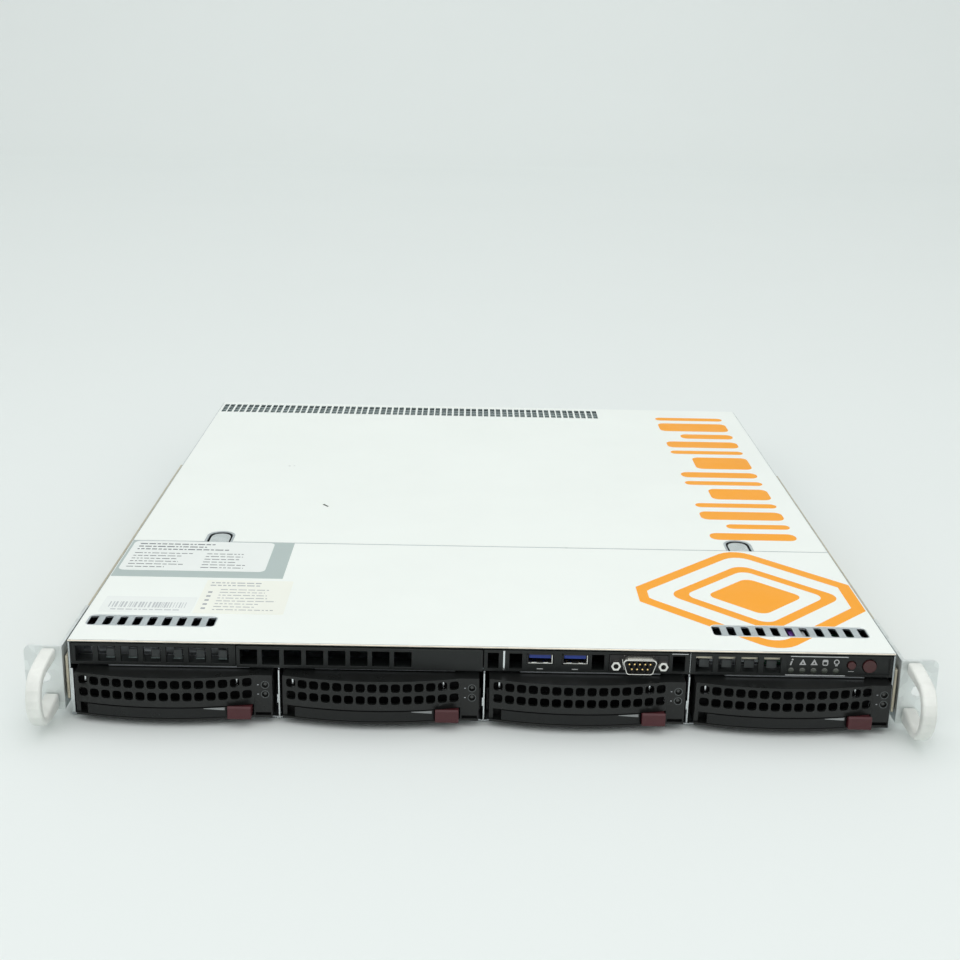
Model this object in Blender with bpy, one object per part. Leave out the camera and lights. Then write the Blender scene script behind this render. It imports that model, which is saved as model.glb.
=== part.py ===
"""One-rack-unit network security appliance: a sheet-steel chassis with four hot-swap drive carriers,
front service ports, a fan row, a server board and two plug-in power modules.

Sizes are in millimetres and become metres when a mesh is made. +X is the appliance's right, +Y its rear
and +Z up. While modelling, y is measured back from the chassis front edge; the finished origin is on the
underside, at the centre of the whole object's footprint.
"""

import math

import bmesh
import bpy

MM = 0.001

# Driving dimensions
WIDTH = 437.0
DEPTH = 503.0
HEIGHT = 43.2
RACK_WIDTH = 482.6
SHEET = 1.0
COVER_SHEET = 1.2
GAP = 0.3

# Levels and stations that several parts share
HALF = WIDTH / 2
COVER_Z = HEIGHT - COVER_SHEET
WALL_TOP = COVER_Z - GAP
SEAM_Y = 154.0
BAYS = 4
DIVIDER = 1.0
SHELF_Z = 28.3
CAGE_DEPTH = 170.0
BAY_WIDTH = (WIDTH - 2 * SHEET - 0.6 - (BAYS - 1) * DIVIDER) / BAYS
BAY_SHIFT = 1.0
BAY_LEFT = -HALF + SHEET + 0.3 + BAY_SHIFT
UPPER_Z = (29.6, WALL_TOP - 0.1)
BEZEL_Y = -0.4

CARRIER_WIDTH = 103.4
CARRIER_DEPTH = 166.0
CARRIER_FACE_Y = -7.0
CARRIER_TOP = 27.9
GRILLE_SPAN = 93.6
GRILLE_BULGE = 6.0
PIVOT_X = 9.5
PIVOT_Y = -3.8
LEVER_X = (6.4, 80.0)
LEVER_Z = (5.2, 10.8)
TAB_X = (80.4, 92.9)

BOARD_X = (-213.0, 92.0)
BOARD_Y = (257.0, 501.0)
BOARD_Z = (6.0, 7.6)
FAN_SIZE = 40.0
FAN_DEPTH = 28.0
FAN_Y = 196.0
FAN_XS = (-175.0, -95.0, -15.0, 65.0)
FAN_Z = 21.4
POWER_LEFT = 104.0
MODULE_WIDTH = 54.5
MODULE_DEPTH = 220.0
MODULE_XS = (105.2, 160.5)
MODULE_Z = (2.0, 40.6)

EAR_Z = (3.5, 40.0)
EAR_Y = (-1.5, 0.5)
HANDLE_X = (224.2, 231.8)
HANDLE_NOSE = -35.2
RACK_SLOT_X = 232.5

# The finished origin is midway between the front handles' noses and the rear handles' ends
REAR_REACH = 24.0
ORIGIN_Y = (HANDLE_NOSE + DEPTH + REAR_REACH) / 2

# Sockets in the rear panel
LAN_XS = (-37.0, -21.0, -5.0)
LAN_WIDTH = 16.0
USB_STACK_X = 76.0
D_PORT_XS = (20.5, 52.0)
D_PORT_HALF = 8.2
D_PORT_CENTRE_Z = 13.6


# ---------------------------------------------------------------- outlines

def arc(centre, radius, start, end, steps):
    """Points on a circle from one angle to another, in degrees, both ends included."""
    angles = (start + (end - start) * i / steps for i in range(steps + 1))
    return [
        (centre[0] + radius * math.cos(math.radians(a)), centre[1] + radius * math.sin(math.radians(a)))
        for a in angles
    ]


def circle(centre, radius, sides):
    return arc(centre, radius, 0, 360 * (sides - 1) / sides, sides - 1)


def rectangle(u, v):
    return [(u[0], v[0]), (u[1], v[0]), (u[1], v[1]), (u[0], v[1])]


def rounded(u, v, radius, steps=3):
    """A rectangle with round corners, anticlockwise from its lower right corner."""
    corners = ((u[1] - radius, v[0] + radius, -90), (u[1] - radius, v[1] - radius, 0),
               (u[0] + radius, v[1] - radius, 90), (u[0] + radius, v[0] + radius, 180))
    return [p for cu, cv, a in corners for p in arc((cu, cv), radius, a, a + 90, steps)]


def slot(centre, length, width, steps=4):
    """A slot with round ends, lying along the first axis."""
    r = width / 2
    reach = length / 2 - r
    right = arc((centre[0] + reach, centre[1]), r, -90, 90, steps)
    left = arc((centre[0] - reach, centre[1]), r, 90, 270, steps)
    return right + left


# ---------------------------------------------------------------- solids

def to_space(axis, u, v, w):
    """A point from plane coordinates: w runs along the named axis, u and v along the other two in order."""
    return {"x": (w, u, v), "y": (u, w, v), "z": (u, v, w)}[axis]


def plate(outline, span, axis, holes=()):
    """A flat outline with holes, carried along an axis between the two ends of span."""
    shape = bmesh.new()
    loops = []
    for points in (outline, *holes):
        low = [shape.verts.new(to_space(axis, u, v, span[0])) for u, v in points]
        high = [shape.verts.new(to_space(axis, u, v, span[1])) for u, v in points]
        loops.append((low, high))
    partner = {a: b for low, high in loops for a, b in zip(low, high)}
    edges = [shape.edges.new((low[i - 1], low[i])) for low, _ in loops for i in range(len(low))]
    filled = bmesh.ops.triangle_fill(shape, use_beauty=True, edges=edges)["geom"]
    for face in [g for g in filled if isinstance(g, bmesh.types.BMFace)]:
        shape.faces.new([partner[v] for v in reversed(face.verts)])
    for low, high in loops:
        for i in range(len(low)):
            shape.faces.new((low[i - 1], low[i], high[i], high[i - 1]))
    bmesh.ops.recalc_face_normals(shape, faces=shape.faces)
    return shape


def block(x, y, z):
    return plate(rectangle(x, y), z, "z")


def cylinder(centre, radius, span, axis, sides=20):
    return plate(circle(centre, radius, sides), span, axis)


def joined(shapes):
    """Several separate solids as one mesh, for use as one cutter."""
    out = bmesh.new()
    for shape in shapes:
        mesh = bpy.data.meshes.new("piece")
        shape.to_mesh(mesh)
        shape.free()
        out.from_mesh(mesh)
        bpy.data.meshes.remove(mesh)
    return out


def boolean(base, tools, operation):
    """The base united with each tool, or cut by each, with the exact solver."""
    objects = []
    for shape in (base, *tools):
        mesh = bpy.data.meshes.new("operand")
        shape.to_mesh(mesh)
        shape.free()
        operand = bpy.data.objects.new("operand", mesh)
        bpy.context.scene.collection.objects.link(operand)
        objects.append(operand)
    host = objects[0]
    for tool in objects[1:]:
        modifier = host.modifiers.new("step", "BOOLEAN")
        modifier.operation = operation
        modifier.solver = "EXACT"
        modifier.object = tool
    bpy.context.view_layer.update()
    graph = bpy.context.evaluated_depsgraph_get()
    result = bmesh.new()
    result.from_mesh(host.evaluated_get(graph).to_mesh())
    host.evaluated_get(graph).to_mesh_clear()
    for operand in objects:
        mesh = operand.data
        bpy.data.objects.remove(operand)
        bpy.data.meshes.remove(mesh)
    return result


def union(base, *tools):
    return boolean(base, tools, "UNION")


def cut(base, *tools):
    return boolean(base, tools, "DIFFERENCE")


# ---------------------------------------------------------------- materials and objects

MATERIALS = {
    "zinc_steel": ((0.62, 0.65, 0.66), 0.38, 0.9),
    "white_film": ((0.86, 0.88, 0.86), 0.35, 0.0),
    "black_plastic": ((0.018, 0.019, 0.020), 0.42, 0.0),
    "release_red": ((0.13, 0.018, 0.026), 0.4, 0.0),
    "button_red": ((0.12, 0.03, 0.035), 0.45, 0.0),
    "white_handle": ((0.82, 0.83, 0.80), 0.4, 0.0),
    "rail_steel": ((0.40, 0.37, 0.31), 0.4, 0.85),
    "connector_metal": ((0.66, 0.65, 0.62), 0.28, 1.0),
    "drive_metal": ((0.55, 0.56, 0.57), 0.4, 0.9),
    "board_green": ((0.02, 0.10, 0.05), 0.5, 0.0),
    "fin_aluminium": ((0.70, 0.71, 0.72), 0.35, 1.0),
    "fan_black": ((0.03, 0.03, 0.03), 0.5, 0.0),
    "shroud_black": ((0.05, 0.05, 0.055), 0.35, 0.0),
    "latch_green": ((0.02, 0.22, 0.14), 0.4, 0.0),
}


def material(name):
    found = bpy.data.materials.get(name)
    if found:
        return found
    colour, roughness, metallic = MATERIALS[name]
    made = bpy.data.materials.new(name)
    made.use_nodes = True
    shader = made.node_tree.nodes["Principled BSDF"]
    shader.inputs["Base Color"].default_value = (*colour, 1.0)
    shader.inputs["Roughness"].default_value = roughness
    shader.inputs["Metallic"].default_value = metallic
    return made


def part(name, shape, finish, origin=(0.0, 0.0, 0.0), parent=None):
    """Turns a shape into the named object, with its origin at a point of the modelling frame."""
    bmesh.ops.translate(shape, verts=shape.verts, vec=[-c for c in origin])
    bmesh.ops.scale(shape, verts=shape.verts, vec=(MM, MM, MM))
    mesh = bpy.data.meshes.new(name)
    shape.to_mesh(mesh)
    shape.free()
    mesh.materials.append(material(finish))
    mesh.shade_smooth()
    mesh.set_sharp_from_angle(angle=math.radians(35))
    made = bpy.data.objects.new(name, mesh)
    bpy.context.scene.collection.objects.link(made)
    made.location = (origin[0] * MM, (origin[1] - ORIGIN_Y) * MM, origin[2] * MM)
    if parent is not None:
        made.parent = parent
        made.location = made.location - parent.location
    return made


# ---------------------------------------------------------------- chassis and covers

def bay_left(index):
    return BAY_LEFT + index * (BAY_WIDTH + DIVIDER)


def carrier_left(index):
    return bay_left(index) + (BAY_WIDTH - CARRIER_WIDTH) / 2


def chassis_tray():
    shell = cut(block((-HALF, HALF), (0, DEPTH), (0, WALL_TOP)),
                block((-HALF + SHEET, HALF - SHEET), (-5, DEPTH - SHEET), (SHEET, HEIGHT + 5)))
    through = (DEPTH - SHEET - 2, DEPTH + 2)
    power_bay = plate(rectangle((POWER_LEFT, HALF - 2), (1.6, 41.0)), through, "y")
    port_window = plate(rectangle((-66.5, 92.0), (2.0, 40.0)), through, "y")
    card_slot = plate(rectangle((-207, -99), (22.0, 37.0)), through, "y")
    vents = [plate(rectangle((x, x + 5.0), (5.0, 17.0)), through, "y")
             for x in (-205 + 8.0 * i for i in range(14))]
    # The walls are pierced where the inner rails' hooks pass through
    hooks = [plate(slot((y, 21.5), 9.0, 5.0), (side * HALF - 3, side * HALF + 3), "x")
             for side in (-1, 1) for y in (90.0, 300.0)]
    return cut(shell, power_bay, port_window, card_slot, joined(vents), joined(hooks))


def flanges(y, overlap):
    """The two strips that hang from a cover just inside the side walls."""
    inner = HALF - SHEET - 0.4
    depth = (36.0, COVER_Z + overlap)
    return block((-inner, -inner + 1), y, depth), block((inner - 1, inner), y, depth)


VENT_Y = (20.9, 32.9)
VENT_PITCH = 8.0
VENT_ROWS = ((-211.5, 9), (127.5, 11))


def front_cover():
    vents = [rounded((x - 2.1, x + 2.1), VENT_Y, 1.2, 2)
             for first, count in VENT_ROWS for x in (first + VENT_PITCH * i for i in range(count))]
    sheet = plate(rectangle((-HALF, HALF), (0.2, SEAM_Y - 0.3)), (COVER_Z, HEIGHT), "z", vents)
    return union(sheet, *flanges((14, 148), 0.4))


NOTCHES = (-165.0, 163.0)
NOTCH_WIDTH = 14.6


def top_cover():
    r = NOTCH_WIDTH / 2
    outline = [(-HALF, SEAM_Y)]
    for x in NOTCHES:
        outline.append((x - r, SEAM_Y))
        outline += arc((x, SEAM_Y + 11.0), r, 180, 0, 8)
        outline.append((x + r, SEAM_Y))
    outline += [(HALF, SEAM_Y), (HALF, DEPTH - 0.2), (-HALF, DEPTH - 0.2)]
    vents = [rectangle((x, x + 8.6), (471.5, 496.0)) for x in (-216.0 + 10.24 * i for i in range(31))]
    sheet = plate(outline, (COVER_Z, HEIGHT), "z", vents)
    return union(sheet, *flanges((162, 486), 0.4))


def cover_button(x):
    """A spring leaf under the covers with a raised pad that fills the notch in the lid."""
    r = NOTCH_WIDTH / 2 - 1.2
    pad = [(x - r, SEAM_Y + 0.6)] + [(x + r, SEAM_Y + 0.6)] + arc((x, SEAM_Y + 10.5), r, 0, 180, 8)
    leaf = block((x - 5, x + 5), (136, SEAM_Y + 14), (36.2, 37.0))
    return union(plate(pad, (36.6, HEIGHT - 0.5), "z"), leaf)


# ---------------------------------------------------------------- drive bays

SHELF_STEP_Y = 4.0
SHELF_TONGUE = (16.5, 13.0)


def drive_cage():
    """A shelf over the drives, its front edge stepped forward in the middle of each bay, on three dividers."""
    side = HALF - SHEET - 0.4
    outline = [(-side, CAGE_DEPTH), (-side, SHELF_STEP_Y)]
    for i in range(BAYS):
        x = (carrier_left(i) + SHELF_TONGUE[0], carrier_left(i) + CARRIER_WIDTH - SHELF_TONGUE[1])
        outline += [(x[0] - 2, SHELF_STEP_Y), (x[0], 0.6), (x[1], 0.6), (x[1] + 2, SHELF_STEP_Y)]
    outline += [(side, SHELF_STEP_Y), (side, CAGE_DEPTH)]
    dividers = [block((x - DIVIDER, x), (0.9, CAGE_DEPTH - 0.3), (SHEET + GAP, SHELF_Z + 0.5))
                for x in (bay_left(i) for i in range(1, BAYS))]
    return union(plate(outline, (SHELF_Z, SHELF_Z + SHEET), "z"), *dividers)


def bulge(distance):
    """How far the curved carrier face stands forward, at a distance from the carrier's left edge."""
    half = (GRILLE_SPAN - 1.0) / 2
    radius = (half ** 2 + GRILLE_BULGE ** 2) / (2 * GRILLE_BULGE)
    across = distance - 1.0 - half
    return math.sqrt(radius ** 2 - min(abs(across), half) ** 2) - (radius - GRILLE_BULGE)


def face_points(x0, stations, proud=0.0):
    """Points along the curved carrier face, proud of it by a distance."""
    return [(x0 + s, CARRIER_FACE_Y - proud - bulge(s)) for s in stations]


GRILLE_COLUMNS = 15
GRILLE_PITCH = 6.13
GRILLE_FIRST = 4.5
GRILLE_ROWS = (17.2, 24.1)
GRILLE_HOLE = 4.9
GRILLE_BOTTOM = 11.3
LIP_Z = (3.6, 4.8)
END_BLOCK = CARRIER_WIDTH - GRILLE_SPAN
MOULD_WALL = 2.2
RETURN_Y = 12.0
LIGHTS = (3.7, (17.0, 22.4), 1.85)


def drive_carrier(x0):
    """The carrier's moulded front, which stands proud of the bay, and the tray that holds the drive."""
    x1 = x0 + CARRIER_WIDTH
    inner = (x0 + MOULD_WALL, x1 - MOULD_WALL)
    stations = [1.0] + [GRILLE_FIRST + GRILLE_PITCH * (i + 0.5) for i in range(GRILLE_COLUMNS - 1)]
    stations.append(GRILLE_SPAN)
    face = [(x0, CARRIER_FACE_Y), *face_points(x0, stations), (x1, CARRIER_FACE_Y)]
    behind = face_points(x0, [max(s, MOULD_WALL) for s in stations], -2.0)
    returns = [(x1, RETURN_Y), (inner[1], RETURN_Y), (inner[1], CARRIER_FACE_Y + 2.0), *reversed(behind),
               (inner[0], RETURN_Y), (x0, RETURN_Y)]
    front = plate(face + returns, (GRILLE_BOTTOM, CARRIER_TOP), "z")
    half = GRILLE_HOLE / 2
    windows = [plate(rounded((x - half, x + half), (z - half, z + half), 1.4, 2), (-16.0, 0.0), "y")
               for z in GRILLE_ROWS
               for x in (x0 + GRILLE_FIRST + GRILLE_PITCH * i for i in range(GRILLE_COLUMNS))]
    inset, heights, radius = LIGHTS
    windows += [cylinder((x1 - inset, z), radius, (CARRIER_FACE_Y - 1, CARRIER_FACE_Y + 1.2), "y", 16) for z in heights]
    front = cut(front, joined(windows))
    wall = (-0.5, 1.3)
    lower = [(x0, CARRIER_FACE_Y + 1.0), (inner[0], CARRIER_FACE_Y + 1.0), (inner[0], wall[0]),
             (x1 - END_BLOCK, wall[0]), (x1 - END_BLOCK, CARRIER_FACE_Y), (x1, CARRIER_FACE_Y),
             (x1, RETURN_Y), (inner[1], RETURN_Y), (inner[1], wall[1]), (inner[0], wall[1]),
             (inner[0], RETURN_Y), (x0, RETURN_Y)]
    foot = plate(lower, (LIP_Z[0] + 0.2, GRILLE_BOTTOM + 0.4), "z")
    notch = block((x1 - END_BLOCK + 0.8, x1 - 0.8), (CARRIER_FACE_Y - 3, CARRIER_FACE_Y + 2.4), (LIP_Z[1], 6.6))
    lip = plate(face + [(x1, 1.0), (x0, 1.0)], LIP_Z, "z")
    roof = plate(face + [(x1, RETURN_Y), (x0, RETURN_Y)], (CARRIER_TOP - 1.0, CARRIER_TOP), "z")
    sides = [block(x, (RETURN_Y - 2.5, CARRIER_DEPTH), (2.0, 15.0))
             for x in ((x0 - 1.2, x0 + 0.6), (x1 - 0.6, x1 + 1.2))]
    return union(front, roof, cut(foot, notch), lip, *sides)


def carrier_lever(x0):
    """The curved lever under the grille, turning on the boss at its left end."""
    stations = [LEVER_X[0] + (LEVER_X[1] - LEVER_X[0]) * i / 10 for i in range(11)]
    front = face_points(x0, stations, 0.4)
    back = face_points(x0, stations[1:], -2.2)
    boss = arc((x0 + PIVOT_X, PIVOT_Y), 2.9, 20, 200, 6)
    return plate(front + back[::-1] + boss, LEVER_Z, "z")


def release_tab(x0):
    """The catch at the lever's right end: a proud cap with a stem that runs back into the carrier."""
    profile = [(-13.2, 5.2), (-13.2, 11.4), (-12.4, 12.2), (-11.7, 12.2), (-11.7, 10.9), (-3.0, 10.9),
               (-3.0, 6.2), (-9.0, 6.2), (-10.0, 5.2)]
    return plate(profile, (x0 + TAB_X[0], x0 + TAB_X[1]), "x")


def hard_drive(x0):
    """A 3.5-inch drive: cast body, stepped lid and the recess of its circuit board."""
    middle = x0 + CARRIER_WIDTH / 2
    x = (middle - 50.8, middle + 50.8)
    body = block(x, (14.0, 161.0), (2.2, 26.6))
    lid = plate(rounded((x[0] + 2, x[1] - 2), (16.0, 159.0), 6.0, 2), (26.2, 27.6), "z")
    socket = block((middle - 30, middle + 5), (154.0, 163.0), (1.0, 6.5))
    return cut(union(body, lid), socket)


def drive_backplane():
    """The board behind the drives: one power-and-data plug for each, and air slots between them."""
    slots = []
    plugs = []
    for i in range(BAYS):
        middle = carrier_left(i) + CARRIER_WIDTH / 2
        slots += [rectangle((middle + dx, middle + dx + 14.0), (10.0, 23.0)) for dx in (-46, -28, -10, 8, 26)]
        plugs.append(block((middle - 29, middle + 4), (155.5, 174.0), (2.9, 5.9)))
    board = plate(rectangle((-HALF + 3, HALF - 3), (1.8, 27.6)), (172.0, 173.8), "y", slots)
    header = block((20, 60), (173.0, 182.0), (3.0, 9.0))
    return union(board, *plugs, header)


# ---------------------------------------------------------------- upper front row

def bezel_box(x, holes, depth=11.0, wall=2.0, front=BEZEL_Y):
    """A moulded front piece: a face with openings and a rim that runs back from it."""
    shell = cut(block(x, (front, depth), UPPER_Z),
                block((x[0] + 1.4, x[1] - 1.4), (front + wall, depth + 3),
                      (UPPER_Z[0] + 1.0, UPPER_Z[1] - 1.0)))
    openings = [plate(hole, (front - 2, front + wall + 2), "y") for hole in holes]
    return cut(shell, joined(openings))


def windows(first, pitch, count, width, z):
    return [rectangle((first + pitch * i, first + pitch * i + width), z) for i in range(count)]


def vent_bezel():
    return bezel_box((-217.1, -130.3), windows(-214.6, 11.9, 7, 9.2, (31.2, 40.0)))


def optical_blank():
    return bezel_box((-129.9, 0.1), windows(-128.0, 11.6, 8, 9.2, (31.4, 40.0)), front=BEZEL_Y - 1.2)


USB_XS = (30.2, 48.8)
USB_Z = (33.8, 40.0)
SERIAL_X = 82.5
SERIAL_Z = 35.4


def usb_opening(x):
    return rectangle((x - 7.0, x + 7.0), USB_Z)


def io_bezel():
    holes = [rectangle((2.6, 8.4), (31.0, 40.0)), rectangle((14.0, 20.8), (31.0, 39.8)),
             rectangle((57.6, 64.2), (31.0, 39.8)), rectangle((100.4, 107.0), (31.0, 39.8)),
             rectangle((SERIAL_X - 15.9, SERIAL_X + 15.9), (30.7, 40.2))]
    holes += [usb_opening(x) for x in USB_XS]
    return bezel_box((0.6, 109.6), holes)


def usb_port(x):
    """A receptacle shell with its contact tongue, closed at the back."""
    z = (USB_Z[0] + 0.3, USB_Z[1] - 0.3)
    shell = cut(block((x - 6.6, x + 6.6), (0.1, 9.0), z),
                block((x - 6.2, x + 6.2), (-3.0, 8.0), (z[0] + 0.4, z[1] - 0.4)))
    tongue = block((x - 5.6, x + 5.6), (0.8, 8.5), (z[1] - 2.7, z[1] - 1.0))
    return union(shell, tongue)


def d_outline(x, z, half_width, half_height, steps=3):
    """The D outline of a connector shell, wider at the top."""
    slant = half_height * 0.36
    top = (half_width, half_height)
    corners = [(top[0], top[1]), (-top[0], top[1]), (-top[0] + slant, -top[1]), (top[0] - slant, -top[1])]
    r = 1.6
    points = []
    for (cu, cv), a in zip(corners, (0, 90, 180, 270)):
        inner = (cu - math.copysign(r, cu), cv - math.copysign(r, cv))
        points += [(x + u, z + v) for u, v in arc(inner, r, a, a + 90, steps)]
    return points


def serial_port():
    """A nine-pin D connector: flange, shell, pins and two hexagonal jack posts."""
    flange = plate(rectangle((SERIAL_X - 15.5, SERIAL_X + 15.5), (31.1, 39.7)), (-0.2, 4.0), "y")
    shell = plate(d_outline(SERIAL_X, SERIAL_Z, 8.8, 4.2), (-6.0, 1.0), "y",
                  [d_outline(SERIAL_X, SERIAL_Z, 8.3, 3.7)])
    pins = [plate(rectangle((x - 0.5, x + 0.5), (z - 0.5, z + 0.5)), (-5.0, 1.0), "y")
            for z, count in ((SERIAL_Z + 1.4, 5), (SERIAL_Z - 1.4, 4))
            for x in (SERIAL_X + 2.77 * (i - (count - 1) / 2) for i in range(count))]
    posts = [plate(circle((SERIAL_X + side * 12.5, SERIAL_Z), 2.7, 6), (-5.0, 1.0), "y",
                   [circle((SERIAL_X + side * 12.5, SERIAL_Z), 1.4, 8)]) for side in (-1, 1)]
    return union(flange, shell, *pins, *posts)


POWER_BUTTON = (205.0, 35.6, 3.6)
RESET_BUTTON = (195.4, 36.0, 2.2)


def control_bezel():
    holes = windows(112.6, 12.0, 4, 9.2, (31.0, 40.0))
    holes += [circle((x, z), r + 0.4, 16) for x, z, r in (POWER_BUTTON, RESET_BUTTON)]
    shell = bezel_box((110.0, 217.1), holes)
    recess = plate(rectangle((161.0, 215.6), (30.9, 40.4)), (BEZEL_Y - 1, BEZEL_Y + 0.8), "y")
    return cut(shell, recess)


def press_button(x, z, radius):
    """A round cap in front of a wider collar that keeps it behind the bezel."""
    cap = cylinder((x, z), radius, (BEZEL_Y - 0.2, 5.0), "y", 16)
    collar = cylinder((x, z), radius + 0.9, (BEZEL_Y + 4.2, BEZEL_Y + 5.2), "y", 16)
    return union(cap, collar)


def control_board():
    """The small board behind the control panel: switches' backs, a header and a ribbon connector."""
    card = plate(rectangle((150.0, 214.0), (12.0, 46.0)), (30.4, 31.8), "z")
    header = block((166.0, 184.0), (22.0, 30.0), (31.6, 37.0))
    connector = block((190.0, 211.0), (34.0, 42.0), (31.6, 36.0))
    chip = block((153.0, 161.0), (20.0, 28.0), (31.6, 33.2))
    return union(card, header, connector, chip)


# ---------------------------------------------------------------- rack ears, handles and rails

def mirrored(outline, side):
    points = [(side * u, v) for u, v in outline]
    return points if side > 0 else points[::-1]


def rack_ear(side):
    """An angle bracket: a long leg beside the chassis wall and a flange with the rack screw's slot."""
    corner = 3.2
    x = (HALF + 3.0, RACK_WIDTH / 2)
    outline = [(x[0], EAR_Z[0])]
    outline += arc((x[1] - corner, EAR_Z[0] + corner), corner, -90, 0, 4)
    outline += arc((x[1] - corner, EAR_Z[1] - corner), corner, 0, 90, 4) + [(x[0], EAR_Z[1])]
    hole = slot((RACK_SLOT_X, 22.2), 9.0, 6.6)
    flange = plate(mirrored(outline, side), EAR_Y, "y", [mirrored(hole, side)])
    leg_x = sorted((side * (HALF + 2.8), side * (HALF + 4.8)))
    leg = block(leg_x, (EAR_Y[0] + 0.2, 56.0), (EAR_Z[0] + 0.3, EAR_Z[1] - 0.3))
    return union(flange, leg)


HANDLE_OUTER = ((-18.0, 4.3), (-25.0, 5.7), (-30.6, 10.0), (-33.6, 14.6), (-35.2, 20.0), (-35.2, 24.4),
                (-33.7, 29.4), (-31.2, 33.4), (-28.2, 35.9), (-24.0, 37.3), (-14.0, 38.7))
HANDLE_INNER = ((-9.0, 12.2), (-17.0, 10.9), (-24.0, 10.2), (-27.4, 12.0), (-29.2, 17.0), (-29.6, 24.0),
                (-28.0, 28.6), (-24.0, 31.6), (-17.0, 33.0))


def ear_handle(side):
    """A bow handle in front of the ear, with an opening for two fingers."""
    root = EAR_Y[0] - GAP
    outline = [(root, 4.2), *HANDLE_OUTER, (root, 39.6)]
    outline += [(root, 33.2), *reversed(HANDLE_INNER), (root, 13.4)]
    return plate(outline, sorted(side * x for x in HANDLE_X), "x")


def inner_rail(side):
    """A channel fixed along the wall, its lips turned outwards; only its web passes inside the ear."""
    x0 = HALF + 0.4
    profile = [(x0, 5.0), (x0 + 4.4, 5.0), (x0 + 4.4, 6.4), (x0 + 1.6, 6.4),
               (x0 + 1.6, 36.6), (x0 + 4.4, 36.6), (x0 + 4.4, 38.0), (x0, 38.0)]
    channel = plate(mirrored(profile, side), (56.6, 334.0), "y")
    web_x = sorted((side * (x0 + 0.1), side * (x0 + 1.5)))
    web = block(web_x, (0.8, 60.0), (9.0, 33.6))
    keyholes = [plate(slot((y, 21.5), 14.0, 6.0), (side * x0 - 3, side * x0 + 6), "x")
                for y in (90.0, 195.0, 300.0)]
    return cut(union(channel, web), *keyholes)


# ---------------------------------------------------------------- fans

def fan_wall():
    """The bracket that the fans stand in: an upright sheet with one opening for each, and a foot."""
    holes = [rectangle((x - 18.5, x + 18.5), (3.2, 39.6)) for x in FAN_XS]
    sheet = plate(rectangle((-214.0, 98.0), (SHEET + GAP, 41.3)), (FAN_Y - 1.6, FAN_Y - 0.4), "y", holes)
    foot = block((-214.0, 98.0), (FAN_Y - 9.0, FAN_Y - 0.8), (SHEET + GAP, SHEET + GAP + 1.0))
    return union(sheet, foot)


def fan_frame(x, y0, size=FAN_SIZE, depth=FAN_DEPTH):
    """A square fan housing: round duct, four corner holes, and struts that carry the motor cup."""
    half = size / 2
    duct = circle((x, FAN_Z), half - 1.4, 24)
    corners = [circle((x + du, FAN_Z + dv), 1.8, 6)
               for du in (-half + 3.6, half - 3.6) for dv in (-half + 3.6, half - 3.6)]
    outline = rounded((x - half, x + half), (FAN_Z - half, FAN_Z + half), 2.0, 1)
    frame = plate(outline, (y0, y0 + depth), "y", [duct, *corners])
    cup = cylinder((x, FAN_Z), 8.0, (y0 + depth - 3.2, y0 + depth - 0.4), "y", 16)
    strut_y = (y0 + depth - 2.6, y0 + depth - 0.8)
    struts = [plate(rectangle((x - half + 1, x + half - 1), (FAN_Z - 0.9, FAN_Z + 0.9)), strut_y, "y"),
              plate(rectangle((x - 0.9, x + 0.9), (FAN_Z - half + 1, FAN_Z + half - 1)), strut_y, "y")]
    return union(frame, cup, *struts)


def fan_rotor(x, y0, tip, length, z=FAN_Z, blades=7):
    """A hub with pitched blades."""
    hub = cylinder((x, z), 8.0, (y0, y0 + length), "y", 14)
    pieces = []
    for i in range(blades):
        turn = 2 * math.pi * i / blades
        blade = bmesh.new()
        rings = []
        for radius in (6.5, tip):
            for along, lead in ((1.5, -0.42), (length - 1.5, 0.42)):
                for thick in (-0.55, 0.55):
                    angle = turn + lead * 9.0 / radius + thick / radius
                    rings.append(blade.verts.new((x + radius * math.cos(angle), y0 + along,
                                                  z + radius * math.sin(angle))))
        a, b, c, d, e, f, g, h = rings
        for corners in ((a, b, d, c), (e, g, h, f), (a, c, g, e), (b, f, h, d), (a, e, f, b), (c, d, h, g)):
            blade.faces.new(corners)
        bmesh.ops.recalc_face_normals(blade, faces=blade.faces)
        pieces.append(blade)
    return union(hub, joined(pieces))


# ---------------------------------------------------------------- server board

PORT_Y = (484.0, DEPTH + 0.4)
PORT_FLOOR = 7.3
LAN_X = (LAN_XS[0] - LAN_WIDTH / 2, LAN_XS[-1] + LAN_WIDTH / 2)
LAN_Z = (BOARD_Z[1] + GAP, 21.2)
USB_STACK_Z = (PORT_FLOOR, 22.6)
D_PORT_Z = (PORT_FLOOR, 19.6)


def network_ports():
    """A gang of three network sockets in one shell."""
    pockets = [block((x - 5.9, x + 5.9), (490.0, DEPTH + 4), (9.6, 17.6)) for x in LAN_XS]
    return cut(block(LAN_X, PORT_Y, LAN_Z), *pockets)


def usb_stack(x):
    housing = block((x - 7.2, x + 7.2), PORT_Y, USB_STACK_Z)
    pockets = [block((x - 6.2, x + 6.2), (491.0, DEPTH + 4), z) for z in ((9.0, 14.0), (16.0, 21.0))]
    tongues = [block((x - 5.5, x + 5.5), (490.0, DEPTH - 0.4), z) for z in ((11.9, 13.3), (18.9, 20.3))]
    return union(cut(housing, *pockets), *tongues)


def d_port(x):
    reach = D_PORT_HALF + 7.0
    return union(block((x - reach, x + reach), (PORT_Y[0], 501.6), D_PORT_Z),
                 plate(d_outline(x, D_PORT_CENTRE_Z, D_PORT_HALF, 4.4), (500.0, DEPTH + 3.0), "y"))


HEATSINK_X = (0.0, 86.0)
HEATSINK_Y = (330.0, 416.0)
DIMM_XS = (-44.0, -34.0)
DIMM_Y = (300.0, 433.4)


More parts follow.
